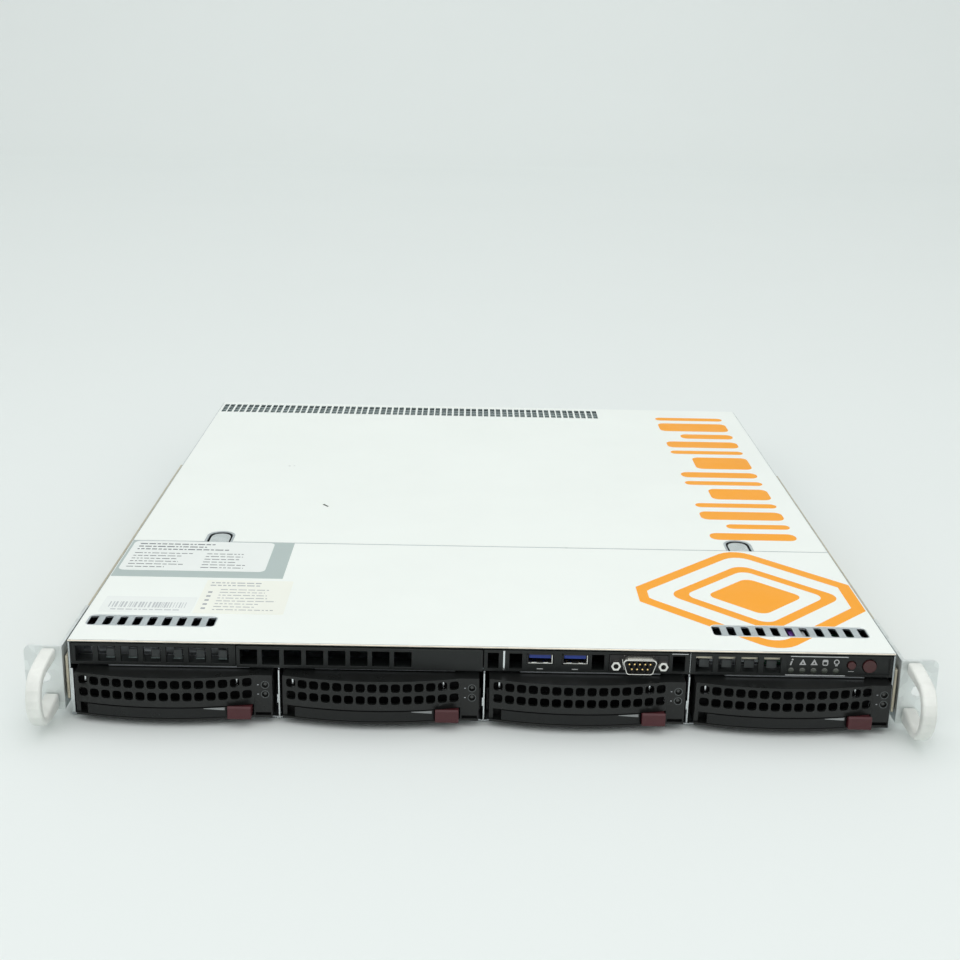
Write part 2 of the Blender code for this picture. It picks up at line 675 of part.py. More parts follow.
def motherboard():
    top = BOARD_Z[1] - 0.2
    board = plate(rectangle(BOARD_X, BOARD_Y), BOARD_Z, "z")
    fittings = [
        block((HEATSINK_X[0] + 18, HEATSINK_X[1] - 18), (HEATSINK_Y[0] + 18, HEATSINK_Y[1] - 18), (top, 12.0)),
        block((-150.0, -122.0), (300.0, 328.0), (top, 14.0)),
        block((-178.0, -170.0), (390.0, 480.0), (top, 18.0)),
        block((60.0, 86.0), (262.0, 268.0), (top, 19.0)),
        block((-100.0, -60.0), (262.0, 270.0), (top, 16.0)),
        cylinder((-95.0, 440.0), 10.0, (top, 11.5), "z", 16),
    ]
    fittings += [block((x - 3.2, x + 3.2), (DIMM_Y[0] - 6, DIMM_Y[1] + 6), (top, 10.6)) for x in DIMM_XS]
    standoffs = [cylinder((x, y), 3.0, (SHEET + GAP, BOARD_Z[0] + 0.3), "z", 8)
                 for x in (BOARD_X[0] + 6, -60.0, BOARD_X[1] - 6) for y in (BOARD_Y[0] + 6, 380.0, 480.0)]
    ports = [usb_stack(USB_STACK_X), *(d_port(x) for x in D_PORT_XS)]
    return union(board, *fittings, *standoffs, *ports)


def cpu_heatsink():
    """An aluminium base with upright fins in line with the air flow."""
    x0, x1 = HEATSINK_X
    base, top = 16.2, 38.0
    fins = 15
    pitch = (x1 - x0 - 1.6) / (fins - 1)
    comb = [(x0, 12.4), (x1, 12.4)]
    for i in reversed(range(fins)):
        left = x0 + pitch * i
        comb += [(left + 1.6, top), (left, top)]
        if i:
            comb += [(left, base), (left - pitch + 1.6, base)]
    return plate(comb, HEATSINK_Y, "y")


def memory_module(x):
    """A memory board standing in its slot, with chips on both faces."""
    card = block((x - 0.65, x + 0.65), DIMM_Y, (11.0, 38.8))
    chips = [block((x - 1.8, x + 1.8), (y, y + 9.0), (19.0, 33.0))
             for y in (DIMM_Y[0] + 6 + 14.0 * i for i in range(9))]
    return union(card, *chips)


def air_shroud():
    """A moulded duct from the fans over the processor and the memory."""
    profile = [(-52.0, 11.2), (-50.8, 11.2), (-50.8, 39.6), (88.8, 39.6), (88.8, 11.2), (90.0, 11.2),
               (90.0, 40.8), (-52.0, 40.8)]
    return plate(profile, (232.0, 446.0), "y")


def io_shield():
    """The pressed plate round the rear ports, with an opening for each."""
    margin = 0.4
    holes = [rectangle((LAN_X[0] - margin, LAN_X[1] + margin), (LAN_Z[0] - margin, LAN_Z[1] + margin))]
    holes.append(rectangle((USB_STACK_X - 7.2 - margin, USB_STACK_X + 7.2 + margin),
                           (USB_STACK_Z[0] - margin, USB_STACK_Z[1] + margin)))
    holes += [d_outline(x, D_PORT_CENTRE_Z, D_PORT_HALF + 0.6, 5.0) for x in D_PORT_XS]
    holes += [rectangle((x, x + 5.0), (26.0, 37.5)) for x in (-62.0 + 8.2 * i for i in range(19))]
    return plate(rectangle((-66.1, 91.6), (2.4, 39.6)), (DEPTH - 0.9, DEPTH - 0.2), "y", holes)


def slot_cover():
    """The blank over the card slot, with the bent foot that its screw holds."""
    face = plate(rectangle((-206.6, -99.4), (22.4, 36.6)), (DEPTH - 0.9, DEPTH), "y")
    foot = block((-98.6, -88.0), (DEPTH - 12.0, DEPTH - 1.4), (24.0, 35.0))
    link = block((-101.0, -97.6), (DEPTH - 2.6, DEPTH - 1.4), (24.4, 34.6))
    stem = block((-101.0, -99.8), (DEPTH - 2.0, DEPTH - 0.6), (24.4, 34.6))
    return union(face, stem, link, foot)


# ---------------------------------------------------------------- power supply

def power_cage():
    """The wall beside the power modules and the board that they plug into."""
    wall = block((POWER_LEFT - 1.4, POWER_LEFT - 0.4), (268.0, DEPTH - 1.4), (SHEET + GAP, 41.2))
    board = block((POWER_LEFT - 0.9, HALF - 2.0), (270.0, 272.0), (SHEET + GAP, 34.0))
    plugs = [block((x + 10, x + MODULE_WIDTH - 10), (271.0, 281.5), (6.0, 14.0)) for x in MODULE_XS]
    coupler = block((POWER_LEFT + 20, HALF - 25), (262.0, 270.5), (8.0, 20.0))
    return union(wall, board, *plugs, coupler)


MODULE_Y = (DEPTH - MODULE_DEPTH, DEPTH + 0.8)
INLET = (15.8, 15.2)
POWER_FAN_Y = 452.0


def c14_outline(x, z, half_width, half_height):
    """The inlet's outline: two lower corners square, two upper ones cut off."""
    chamfer = 5.0
    return [(x - half_width, z - half_height), (x + half_width, z - half_height),
            (x + half_width, z + half_height - chamfer), (x + half_width - chamfer, z + half_height),
            (x - half_width + chamfer, z + half_height), (x - half_width, z + half_height - chamfer)]


def power_module(x0):
    """A plug-in supply: sheet case open at its inner end, air slots, mains inlet and pull handle."""
    x1 = x0 + MODULE_WIDTH
    case = cut(block((x0, x1), MODULE_Y, MODULE_Z),
               block((x0 + 1, x1 - 1), (MODULE_Y[0] - 3, MODULE_Y[1] - 2.0),
                     (MODULE_Z[0] + 1, MODULE_Z[1] - 1)))
    inlet_x, inlet_z = x0 + INLET[0], INLET[1]
    inlet = block((inlet_x - 13.6, inlet_x + 13.6), (484.0, MODULE_Y[1] - 1.0), (4.2, 26.2))
    pocket = plate(c14_outline(inlet_x, inlet_z, 12.2, 8.4), (487.0, DEPTH + 5), "y")
    pins = [plate(rectangle((inlet_x + dx - 1.0, inlet_x + dx + 1.0), (inlet_z + dz - 2.0, inlet_z + dz + 2.0)),
                  (486.0, DEPTH - 1.0), "y") for dx, dz in ((-7.0, 1.6), (7.0, 1.6), (0.0, 5.2))]
    slots = [plate(rectangle((x, x + 2.8), (29.0, 38.4)), (DEPTH - 6, DEPTH + 5), "y")
             for x in (x0 + 4.0 + 5.0 * i for i in range(6))]
    latch_window = plate(rectangle((x1 - 8.4, x1 - 1.6), (8.0, 34.0)), (DEPTH - 6, DEPTH + 5), "y")
    body = cut(union(case, inlet), pocket, joined(slots), latch_window)
    end = DEPTH + REAR_REACH
    bow = [(DEPTH - 0.6, 7.0), (end - 4.0, 7.0), (end, 11.0), (end, 32.0),
           (end - 4.0, 36.0), (DEPTH - 0.6, 36.0), (DEPTH - 0.6, 32.4), (DEPTH + 18.6, 32.4),
           (DEPTH + 20.4, 30.6), (DEPTH + 20.4, 12.4), (DEPTH + 18.6, 10.6), (DEPTH - 0.6, 10.6)]
    handle = plate(bow, (x0 + 33.6, x0 + 38.6), "x")
    fan_beam = block((x0 + 0.5, x1 - 0.5), (POWER_FAN_Y + 20.6, POWER_FAN_Y + 23.6), (18.8, 23.8))
    return union(body, joined(pins), handle, fan_beam)


def power_latch(x0):
    """The thumb latch beside the handle, turning on an upright pin inside the module."""
    x1 = x0 + MODULE_WIDTH
    plan = [(x1 - 3.4, 478.0), (x1 - 2.2, 478.0), (x1 - 2.2, 512.0), (x1 - 4.4, 516.0), (x1 - 6.2, 516.0),
            (x1 - 4.2, 508.0)]
    return plate(plan, (9.0, 33.0), "z")


# ---------------------------------------------------------------- assembly

def clear_scene():
    for item in list(bpy.data.objects):
        bpy.data.objects.remove(item)


def pivot(name, x, y, z):
    """An empty on a joint's axis."""
    made = bpy.data.objects.new(name, None)
    bpy.context.scene.collection.objects.link(made)
    made.location = (x * MM, (y - ORIGIN_Y) * MM, z * MM)
    return made


def build_chassis():
    part("chassis_tray", chassis_tray(), "zinc_steel")
    part("front_cover", front_cover(), "white_film")
    part("top_cover", top_cover(), "white_film")
    for side, x in zip(("left", "right"), NOTCHES):
        part(f"cover_button_{side}", cover_button(x), "zinc_steel", origin=(x, SEAM_Y + 7, 40.0))
    for name, side in (("left", -1), ("right", 1)):
        part(f"rack_ear_{name}", rack_ear(side), "zinc_steel")
        part(f"ear_handle_{name}", ear_handle(side), "white_handle")
        part(f"inner_rail_{name}", inner_rail(side), "rail_steel")


def build_front_row():
    part("vent_bezel", vent_bezel(), "black_plastic")
    part("optical_blank", optical_blank(), "black_plastic")
    part("io_bezel", io_bezel(), "black_plastic")
    part("control_bezel", control_bezel(), "black_plastic")
    for i, x in enumerate(USB_XS, 1):
        part(f"usb_port_{i}", usb_port(x), "connector_metal")
    part("serial_port", serial_port(), "connector_metal")
    part("control_board", control_board(), "board_green")
    for name, (x, z, r) in (("power_button", POWER_BUTTON), ("reset_button", RESET_BUTTON)):
        part(name, press_button(x, z, r), "button_red", origin=(x, 0.0, z))


def build_drives():
    part("drive_cage", drive_cage(), "zinc_steel")
    part("drive_backplane", drive_backplane(), "board_green")
    for i in range(BAYS):
        x0 = carrier_left(i)
        slide = pivot(f"carrier_slide_{i + 1}", x0, 0.0, 0.0)
        part(f"drive_carrier_{i + 1}", drive_carrier(x0), "black_plastic", (x0, 0.0, 0.0), slide)
        part(f"hard_drive_{i + 1}", hard_drive(x0), "drive_metal", (x0, 14.0, 2.2), slide)
        part(f"release_tab_{i + 1}", release_tab(x0), "release_red", (x0 + TAB_X[0], 0.0, 6.0), slide)
        part(f"carrier_lever_{i + 1}", carrier_lever(x0), "black_plastic",
             (x0 + PIVOT_X, PIVOT_Y, LEVER_Z[0]), slide)


def build_cooling():
    part("fan_wall", fan_wall(), "zinc_steel")
    for i, x in enumerate(FAN_XS, 1):
        part(f"fan_frame_{i}", fan_frame(x, FAN_Y), "fan_black")
        part(f"fan_rotor_{i}", fan_rotor(x, FAN_Y + 2.0, 17.6, 22.4), "fan_black", (x, FAN_Y + 12, FAN_Z))
    part("air_shroud", air_shroud(), "shroud_black")


def build_board():
    part("motherboard", motherboard(), "board_green")
    part("cpu_heatsink", cpu_heatsink(), "fin_aluminium")
    part("memory_module", memory_module(DIMM_XS[0]), "board_green")
    part("network_ports", network_ports(), "connector_metal")
    part("io_shield", io_shield(), "zinc_steel")
    part("slot_cover", slot_cover(), "zinc_steel")


def build_power():
    part("power_cage", power_cage(), "zinc_steel")
    for i, x0 in enumerate(MODULE_XS, 1):
        slide = pivot(f"module_slide_{i}", x0, MODULE_Y[0], MODULE_Z[0])
        part(f"power_module_{i}", power_module(x0), "zinc_steel", (x0, MODULE_Y[0], MODULE_Z[0]), slide)
        part(f"power_latch_{i}", power_latch(x0), "latch_green", (x0 + MODULE_WIDTH - 2.8, 479.0, 21.0), slide)


def main():
    clear_scene()
    build_chassis()
    build_front_row()
    build_drives()
    build_cooling()
    build_board()
    build_power()


main()
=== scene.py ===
"""Looks for the firewall appliance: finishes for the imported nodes, and the films, labels, lenses, pins,
screws and other fine pieces that ride on them.

Shapes are drawn in millimetres in the chassis's own frame, where y is 0 at the chassis front edge and grows
to the rear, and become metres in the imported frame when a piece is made.
"""

import math
import random

import bmesh
import bpy
from mathutils import Matrix, Vector

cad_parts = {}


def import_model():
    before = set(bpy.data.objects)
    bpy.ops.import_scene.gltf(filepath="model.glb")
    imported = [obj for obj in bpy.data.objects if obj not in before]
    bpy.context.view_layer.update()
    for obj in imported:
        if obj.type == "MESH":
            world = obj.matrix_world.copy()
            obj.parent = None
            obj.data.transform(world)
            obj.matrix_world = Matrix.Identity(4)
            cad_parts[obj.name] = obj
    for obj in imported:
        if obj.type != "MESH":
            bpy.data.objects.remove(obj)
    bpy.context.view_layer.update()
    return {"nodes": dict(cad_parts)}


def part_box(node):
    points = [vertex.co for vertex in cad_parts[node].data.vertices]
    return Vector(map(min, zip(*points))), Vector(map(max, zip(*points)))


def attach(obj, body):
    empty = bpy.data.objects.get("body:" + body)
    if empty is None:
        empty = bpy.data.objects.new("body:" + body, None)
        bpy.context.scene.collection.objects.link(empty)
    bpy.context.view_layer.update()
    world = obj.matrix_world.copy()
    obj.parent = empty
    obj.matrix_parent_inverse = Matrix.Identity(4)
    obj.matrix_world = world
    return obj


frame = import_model()

MM = 0.001
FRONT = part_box("chassis_tray")[0][1] / MM
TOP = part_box("front_cover")[1][2] / MM
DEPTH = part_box("chassis_tray")[1][1] / MM - FRONT
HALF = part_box("chassis_tray")[1][0] / MM
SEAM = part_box("top_cover")[0][1] / MM - FRONT
FILM = 0.12
CARRIERS = range(1, 5)
MODULES = range(1, 3)


def node_box(name):
    """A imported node's box in the drawing frame: ((x0, x1), (y0, y1), (z0, z1)) in millimetres."""
    low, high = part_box(name)
    return ((low.x / MM, high.x / MM), (low.y / MM - FRONT, high.y / MM - FRONT), (low.z / MM, high.z / MM))


# ---------------------------------------------------------------- shapes

def arc(centre, radius, start, end, steps):
    return [(centre[0] + radius * math.cos(math.radians(start + (end - start) * i / steps)),
             centre[1] + radius * math.sin(math.radians(start + (end - start) * i / steps)))
            for i in range(steps + 1)]


def circle(centre, radius, sides=24):
    return arc(centre, radius, 0, 360 * (sides - 1) / sides, sides - 1)


def rectangle(u, v):
    return [(u[0], v[0]), (u[1], v[0]), (u[1], v[1]), (u[0], v[1])]


def rounded(u, v, radius, steps=4):
    corners = ((u[1] - radius, v[0] + radius, -90), (u[1] - radius, v[1] - radius, 0),
               (u[0] + radius, v[1] - radius, 90), (u[0] + radius, v[0] + radius, 180))
    return [p for cu, cv, a in corners for p in arc((cu, cv), radius, a, a + 90, steps)]


def clipped(outline, u, v):
    """A convex outline cut to a rectangle, one side at a time."""
    for axis, limit, keep in ((0, u[0], 1), (0, u[1], -1), (1, v[0], 1), (1, v[1], -1)):
        kept = []
        for i, point in enumerate(outline):
            before = outline[i - 1]
            inside, was_inside = ((p[axis] - limit) * keep >= 0 for p in (point, before))
            if inside != was_inside:
                t = (limit - before[axis]) / (point[axis] - before[axis])
                kept.append(tuple(before[k] + t * (point[k] - before[k]) for k in (0, 1)))
            if inside:
                kept.append(point)
        outline = kept
    return outline


def to_space(axis, u, v, w):
    return {"x": (w, u, v), "y": (u, w, v), "z": (u, v, w)}[axis]


def plate(outline, span, axis, holes=()):
    """A flat outline with holes, carried along an axis between the two ends of span."""
    shape = bmesh.new()
    loops = []
    for points in (outline, *holes):
        low = [shape.verts.new(to_space(axis, u, v, span[0])) for u, v in points]
        high = [shape.verts.new(to_space(axis, u, v, span[1])) for u, v in points]
        loops.append((low, high))
    partner = {a: b for low, high in loops for a, b in zip(low, high)}
    if holes:
        edges = [shape.edges.new((low[i - 1], low[i])) for low, _ in loops for i in range(len(low))]
        filled = bmesh.ops.triangle_fill(shape, use_beauty=True, edges=edges)["geom"]
        faces = [g for g in filled if isinstance(g, bmesh.types.BMFace)]
    else:
        faces = [shape.faces.new(loops[0][0])]
    for face in faces:
        shape.faces.new([partner[v] for v in reversed(face.verts)])
    for low, high in loops:
        for i in range(len(low)):
            shape.faces.new((low[i - 1], low[i], high[i], high[i - 1]))
    bmesh.ops.recalc_face_normals(shape, faces=shape.faces)
    return shape


def block(x, y, z):
    return plate(rectangle(x, y), z, "z")


def lathe(profile, centre, axis, steps=20):
    """A profile of (radius, position) points turned about a line through centre along an axis."""
    shape = bmesh.new()
    rings = []
    for radius, along in profile:
        if radius == 0:
            rings.append([shape.verts.new(to_space(axis, centre[0], centre[1], along))] * steps)
            continue
        rings.append([shape.verts.new(to_space(axis, u, v, along))
                      for u, v in circle(centre, radius, steps)])
    for low, high in zip(rings, rings[1:]):
        for i in range(steps):
            corners = [low[i - 1], low[i], high[i], high[i - 1]]
            unique = list(dict.fromkeys(corners))
            if len(unique) > 2:
                shape.faces.new(unique)
    for ring in (rings[0], rings[-1]):
        if ring[0] is not ring[1]:
            shape.faces.new(ring)
    bmesh.ops.recalc_face_normals(shape, faces=shape.faces)
    return shape


def gather(shapes):
    """Several solids as one mesh."""
    out = bmesh.new()
    for shape in shapes:
        mesh = bpy.data.meshes.new("piece")
        shape.to_mesh(mesh)
        shape.free()
        out.from_mesh(mesh)
        bpy.data.meshes.remove(mesh)
    return out


def boolean(base, tools, operation):
    """The base joined with each tool, or cut by each."""
    operands = []
    for shape in (base, *tools):
        mesh = bpy.data.meshes.new("operand")
        shape.to_mesh(mesh)
        shape.free()
        operand = bpy.data.objects.new("operand", mesh)
        bpy.context.scene.collection.objects.link(operand)
        operands.append(operand)
    for tool in operands[1:]:
        modifier = operands[0].modifiers.new("step", "BOOLEAN")
        modifier.operation = operation
        modifier.solver = "EXACT"
        modifier.object = tool
    bpy.context.view_layer.update()
    graph = bpy.context.evaluated_depsgraph_get()
    result = bmesh.new()
    result.from_mesh(operands[0].evaluated_get(graph).to_mesh())
    operands[0].evaluated_get(graph).to_mesh_clear()
    for operand in operands:
        mesh = operand.data
        bpy.data.objects.remove(operand)
        bpy.data.meshes.remove(mesh)
    return result


def soften(item, width, segments=2, angle=40):
    """Rounds an object's edges, so that they catch the light."""
    bevel = item.modifiers.new("edges", "BEVEL")
    bevel.width = width * MM
    bevel.segments = segments
    bevel.limit_method = "ANGLE"
    bevel.angle_limit = math.radians(angle)
    bevel.use_clamp_overlap = True
    bevel.harden_normals = False
    return item


def piece(name, shape, finish, body, edge=0.0, segments=2, angle=35):
    """A shape in the drawing frame as an object that rides on a body."""
    bmesh.ops.translate(shape, verts=shape.verts, vec=(0, FRONT, 0))
    bmesh.ops.scale(shape, verts=shape.verts, vec=(MM, MM, MM))
    mesh = bpy.data.meshes.new(name)
    shape.to_mesh(mesh)
    shape.free()
    mesh.materials.append(FINISHES[finish])
    mesh.shade_smooth()
    mesh.set_sharp_from_angle(angle=math.radians(angle))
    item = bpy.data.objects.new(name, mesh)
    bpy.context.scene.collection.objects.link(item)
    if edge:
        soften(item, edge, segments)
    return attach(item, body)


# ---------------------------------------------------------------- finishes

class Finish:
    """A procedural material built round one Principled shader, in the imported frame's coordinates."""

    def __init__(self, name, colour, rough, metallic=0.0, **sockets):
        self.material = bpy.data.materials.new(name)
        self.material.use_nodes = True
        self.tree = self.material.node_tree
        self.shader = self.tree.nodes["Principled BSDF"]
        self.colour = colour
        self.rough = rough
        self.set("Base Color", (*colour, 1.0))
        self.set("Roughness", rough)
        self.set("Metallic", metallic)
        for socket, value in sockets.items():
            self.set(socket.replace("_", " "), value)
        self.coordinates = self.tree.nodes.new("ShaderNodeTexCoord").outputs["Object"]
        self.height = None

    def set(self, socket, value):
        self.shader.inputs[socket].default_value = value

    def node(self, kind, **inputs):
        made = self.tree.nodes.new("ShaderNode" + kind)
        for socket, value in inputs.items():
            target = made.inputs[socket.replace("_", " ")]
            if isinstance(value, bpy.types.NodeSocket):
                self.tree.links.new(value, target)
            else:
                target.default_value = value
        return made

    def stretched(self, scale):
        return self.node("Mapping", Vector=self.coordinates, Scale=scale).outputs["Vector"]

    def noise(self, scale, detail=3.0, stretch=(1, 1, 1), rough=0.55):
        made = self.node("TexNoise", Vector=self.stretched(stretch), Scale=scale, Detail=detail,
                         Roughness=rough)
        return made.outputs["Fac"]

    def cells(self, scale, stretch=(1, 1, 1)):
        made = self.node("TexVoronoi", Vector=self.stretched(stretch), Scale=scale)
        return made.outputs["Color"]

    def between(self, value, low, high, start=0.3, end=0.7):
        made = self.node("MapRange", Value=value)
        for socket, number in (("From Min", start), ("From Max", end), ("To Min", low), ("To Max", high)):
            made.inputs[socket].default_value = number
        return made.outputs["Result"]

    def ramp(self, value, stops):
        made = self.node("ValToRGB", Fac=value)
        ramp = made.color_ramp
        while len(ramp.elements) < len(stops):
            ramp.elements.new(0.5)
        for element, (position, colour) in zip(ramp.elements, stops):
            element.position = position
            element.color = (*colour, 1.0)
        return made.outputs["Color"]

    def link(self, output, socket):
        self.tree.links.new(output, self.shader.inputs[socket])
        return self

    def mottle(self, scale, amount, detail=3.0, stretch=(1, 1, 1)):
        """Light and dark patches of the base colour."""
        dark = tuple(c * (1 - amount) for c in self.colour)
        light = tuple(min(1.0, c * (1 + amount)) for c in self.colour)
        stops = ((0.32, dark), (0.5, self.colour), (0.68, light))
        return self.link(self.ramp(self.noise(scale, detail, stretch), stops), "Base Color")

    def smudge(self, scale, amount, detail=4.0, stretch=(1, 1, 1)):
        """Roughness that varies over the surface."""
        low, high = max(0.02, self.rough - amount), self.rough + amount
        return self.link(self.between(self.noise(scale, detail, stretch), low, high), "Roughness")

    def grain(self, scale, depth, detail=2.0, stretch=(1, 1, 1), strength=1.0):
        """Fine relief, depth in millimetres. A second call lies over the first."""
        bump = self.node("Bump", Height=self.noise(scale, detail, stretch), Strength=strength,
                         Distance=depth * MM)
        if self.height is not None:
            self.tree.links.new(self.height, bump.inputs["Normal"])
        self.height = bump.outputs["Normal"]
        return self.link(self.height, "Normal")

    def finish(self):
        return self.material


def zinc(name, colour, rough=0.34, metallic=1.0):
    """Zinc-plated sheet: faint crystal patches, a drawn grain and smudges."""
    made = Finish(name, colour, rough, metallic)
    spangle = made.node("SeparateColor", Color=made.cells(170.0)).outputs["Red"]
    cloud = made.noise(22.0, 5.0)
    mixed = made.node("Math", Value=spangle)
    mixed.operation = "MULTIPLY_ADD"
    mixed.inputs[1].default_value = 0.35
    made.tree.links.new(cloud, mixed.inputs[2])
    dark, light = (tuple(min(1.0, c * k) for c in colour) for k in (0.86, 1.1))
    made.link(made.ramp(mixed.outputs["Value"], ((0.35, dark), (0.65, colour), (0.95, light))), "Base Color")
    made.smudge(30.0, 0.08)
    return made.grain(900.0, 0.02, stretch=(1.0, 0.06, 1.0), strength=0.25).finish()


def moulded(name, colour, rough=0.42, grain_depth=0.03, **sockets):
    """Injection-moulded plastic with a fine spark-eroded texture."""
    made = Finish(name, colour, rough, **sockets)
    return made.mottle(60.0, 0.10).smudge(90.0, 0.07).grain(1500.0, grain_depth, strength=0.35).finish()


def painted(name, colour, rough=0.3, amount=0.012, **sockets):
    """Printed or painted sheet, with a faint orange peel."""
    made = Finish(name, colour, rough, **sockets)
    return made.mottle(14.0, amount, 5.0).smudge(40.0, 0.05).grain(420.0, 0.012, strength=0.3).finish()


FINISHES = {
    "steel": zinc("steel", (0.58, 0.62, 0.64)),
    "bright_steel": zinc("bright_steel", (0.74, 0.77, 0.78), 0.24),
    "ear_steel": zinc("ear_steel", (0.74, 0.78, 0.77), 0.42, 0.6),
    "hem_steel": zinc("hem_steel", (0.82, 0.76, 0.64), 0.36, 0.5),
    "rail_steel": zinc("rail_steel", (0.58, 0.53, 0.42), 0.38, 0.8),
    "film": painted("film", (0.875, 0.92, 0.88), 0.36, Coat_Weight=0.15, Coat_Roughness=0.25),
    "orange_print": painted("orange_print", (0.95, 0.375, 0.010), 0.45, 0.02, Specular_IOR_Level=0.25),
    "grey_label": painted("grey_label", (0.42, 0.50, 0.485), 0.42, 0.03),
    "stripe_print": painted("stripe_print", (0.50, 0.53, 0.54), 0.5, 0.03),
    "white_label": painted("white_label", (0.835, 0.875, 0.85), 0.32, 0.015, Coat_Weight=0.3),
    "cream_label": painted("cream_label", (0.86, 0.88, 0.80), 0.45, 0.02),
    "print_dark": painted("print_dark", (0.10, 0.11, 0.13), 0.5, 0.1),
    "print_grey": painted("print_grey", (0.38, 0.40, 0.42), 0.5, 0.06),
    # Dark brown for the painted shadow along the covers' folded sides.
    "fold_shadow_brown": painted("fold_shadow_brown", (0.10, 0.085, 0.06), 0.5, 0.1),
    "scuff": painted("scuff", (0.035, 0.035, 0.035), 0.7, 0.2),
    "black": moulded("black", (0.011, 0.013, 0.0125), 0.40, Specular_IOR_Level=0.32),
    "black_carrier": moulded("black_carrier", (0.0085, 0.0095, 0.009), 0.34, Specular_IOR_Level=0.38),
    "black_lever": moulded("black_lever", (0.007, 0.008, 0.0078), 0.32, Specular_IOR_Level=0.3),
    "window_black": moulded("window_black", (0.006, 0.006, 0.007), 0.12, 0.0, Coat_Weight=0.4),
    # Pale gloss for a clear part glimpsed inside and for the painted highlights on the panel rims.
    "clear_plastic_and_highlight": moulded("clear_plastic_and_highlight", (0.50, 0.53, 0.53), 0.16, 0.0, Coat_Weight=0.5),
    "dim_grey": moulded("dim_grey", (0.085, 0.095, 0.095), 0.5),
    "dim_cream": moulded("dim_cream", (0.60, 0.56, 0.44), 0.5),
    "screen_grey": moulded("screen_grey", (0.20, 0.26, 0.25), 0.55),
    "violet": moulded("violet", (0.16, 0.06, 0.30), 0.4),
    "burgundy": moulded("burgundy", (0.062, 0.014, 0.017), 0.34, 0.02, Specular_IOR_Level=0.4),
    "button": moulded("button", (0.062, 0.020, 0.020), 0.38, 0.02, Specular_IOR_Level=0.4),
    "handle": moulded("handle", (0.75, 0.77, 0.73), 0.38, 0.015, Coat_Weight=0.1),
    "usb_blue": moulded("usb_blue", (0.010, 0.035, 0.24), 0.35),
    # Near-black for the painted shade behind the carrier grilles.
    "painted_shade_black": moulded("painted_shade_black", (0.0025, 0.0025, 0.0027), 0.7, Specular_IOR_Level=0.1),
    # Lighter grey for the painted highlight on the levers' ends.
    "lever_end_highlight": moulded("lever_end_highlight", (0.22, 0.235, 0.235), 0.2, 0.01, Coat_Weight=0.4),
    "port_black": moulded("port_black", (0.010, 0.010, 0.011), 0.45),
    "led_dark": moulded("led_dark", (0.016, 0.018, 0.017), 0.12, 0.0, Coat_Weight=0.6),
    "video_blue": moulded("video_blue", (0.02, 0.07, 0.36), 0.4),
    "latch_green": moulded("latch_green", (0.02, 0.20, 0.13), 0.36),
    "led_dull": moulded("led_dull", (0.050, 0.058, 0.046), 0.25, 0.0, Coat_Weight=0.5),
    "led_green": moulded("led_green", (0.10, 0.32, 0.12), 0.2, 0.0, Coat_Weight=0.5),
    "legend": painted("legend", (0.44, 0.45, 0.45), 0.5, 0.05),
    "gold": zinc("gold", (0.85, 0.62, 0.24), 0.22),
    "shell_metal": zinc("shell_metal", (0.72, 0.71, 0.68), 0.22),
    "drive_metal": zinc("drive_metal", (0.50, 0.51, 0.52), 0.38),
    "fin_metal": zinc("fin_metal", (0.74, 0.75, 0.76), 0.3),
    "board": moulded("board", (0.012, 0.085, 0.045), 0.4, 0.02, Coat_Weight=0.3),
    "chip": moulded("chip", (0.018, 0.018, 0.02), 0.5),
    "fan_black": moulded("fan_black", (0.028, 0.028, 0.03), 0.45),
    "shroud": moulded("shroud", (0.04, 0.04, 0.044), 0.32),
}

NODE_FINISHES = {
    "steel": ["chassis_tray", "front_cover", "top_cover", "drive_cage", "fan_wall", "io_shield", "slot_cover",
              "power_cage", "power_module_1", "power_module_2"],
    "bright_steel": ["cover_button_left", "cover_button_right"],
    "ear_steel": ["rack_ear_left", "rack_ear_right"],
    "rail_steel": ["inner_rail_left", "inner_rail_right"],
    "handle": ["ear_handle_left", "ear_handle_right"],
    "black": ["vent_bezel", "optical_blank", "io_bezel", "control_bezel"],
    "black_carrier": [f"drive_carrier_{i}" for i in CARRIERS],
    "black_lever": [f"carrier_lever_{i}" for i in CARRIERS],
    "burgundy": [f"release_tab_{i}" for i in CARRIERS],
    "button": ["power_button", "reset_button"],
    "shell_metal": ["usb_port_1", "usb_port_2", "serial_port", "network_ports"],
    "drive_metal": [f"hard_drive_{i}" for i in CARRIERS],
    "board": ["control_board", "drive_backplane", "motherboard", "memory_module"],
    "fin_metal": ["cpu_heatsink"],
    "fan_black": [f"fan_frame_{i}" for i in range(1, 5)] + [f"fan_rotor_{i}" for i in range(1, 5)],
    "shroud": ["air_shroud"],
    "latch_green": ["power_latch_1", "power_latch_2"],
}
NODE_EDGES = {
    "ear_handle_left": 1.5, "ear_handle_right": 1.5, "rack_ear_left": 0.3, "rack_ear_right": 0.3,
    "vent_bezel": 0.25, "optical_blank": 0.3, "io_bezel": 0.25, "control_bezel": 0.25,
    "power_button": 0.5, "reset_button": 0.4, "front_cover": 0.2, "top_cover": 0.2, "drive_cage": 0.2,
    "chassis_tray": 0.2, "serial_port": 0.2, "cover_button_left": 0.3, "cover_button_right": 0.3,
    "power_module_1": 0.3, "power_module_2": 0.3, "slot_cover": 0.2, "inner_rail_left": 0.2,
    "inner_rail_right": 0.2,
}
NODE_EDGES |= {f"carrier_lever_{i}": 0.5 for i in CARRIERS}
NODE_EDGES |= {f"release_tab_{i}": 0.7 for i in CARRIERS}
NODE_EDGES |= {f"hard_drive_{i}": 0.5 for i in CARRIERS}
NODE_EDGES |= {f"drive_carrier_{i}": 0.22 for i in CARRIERS}


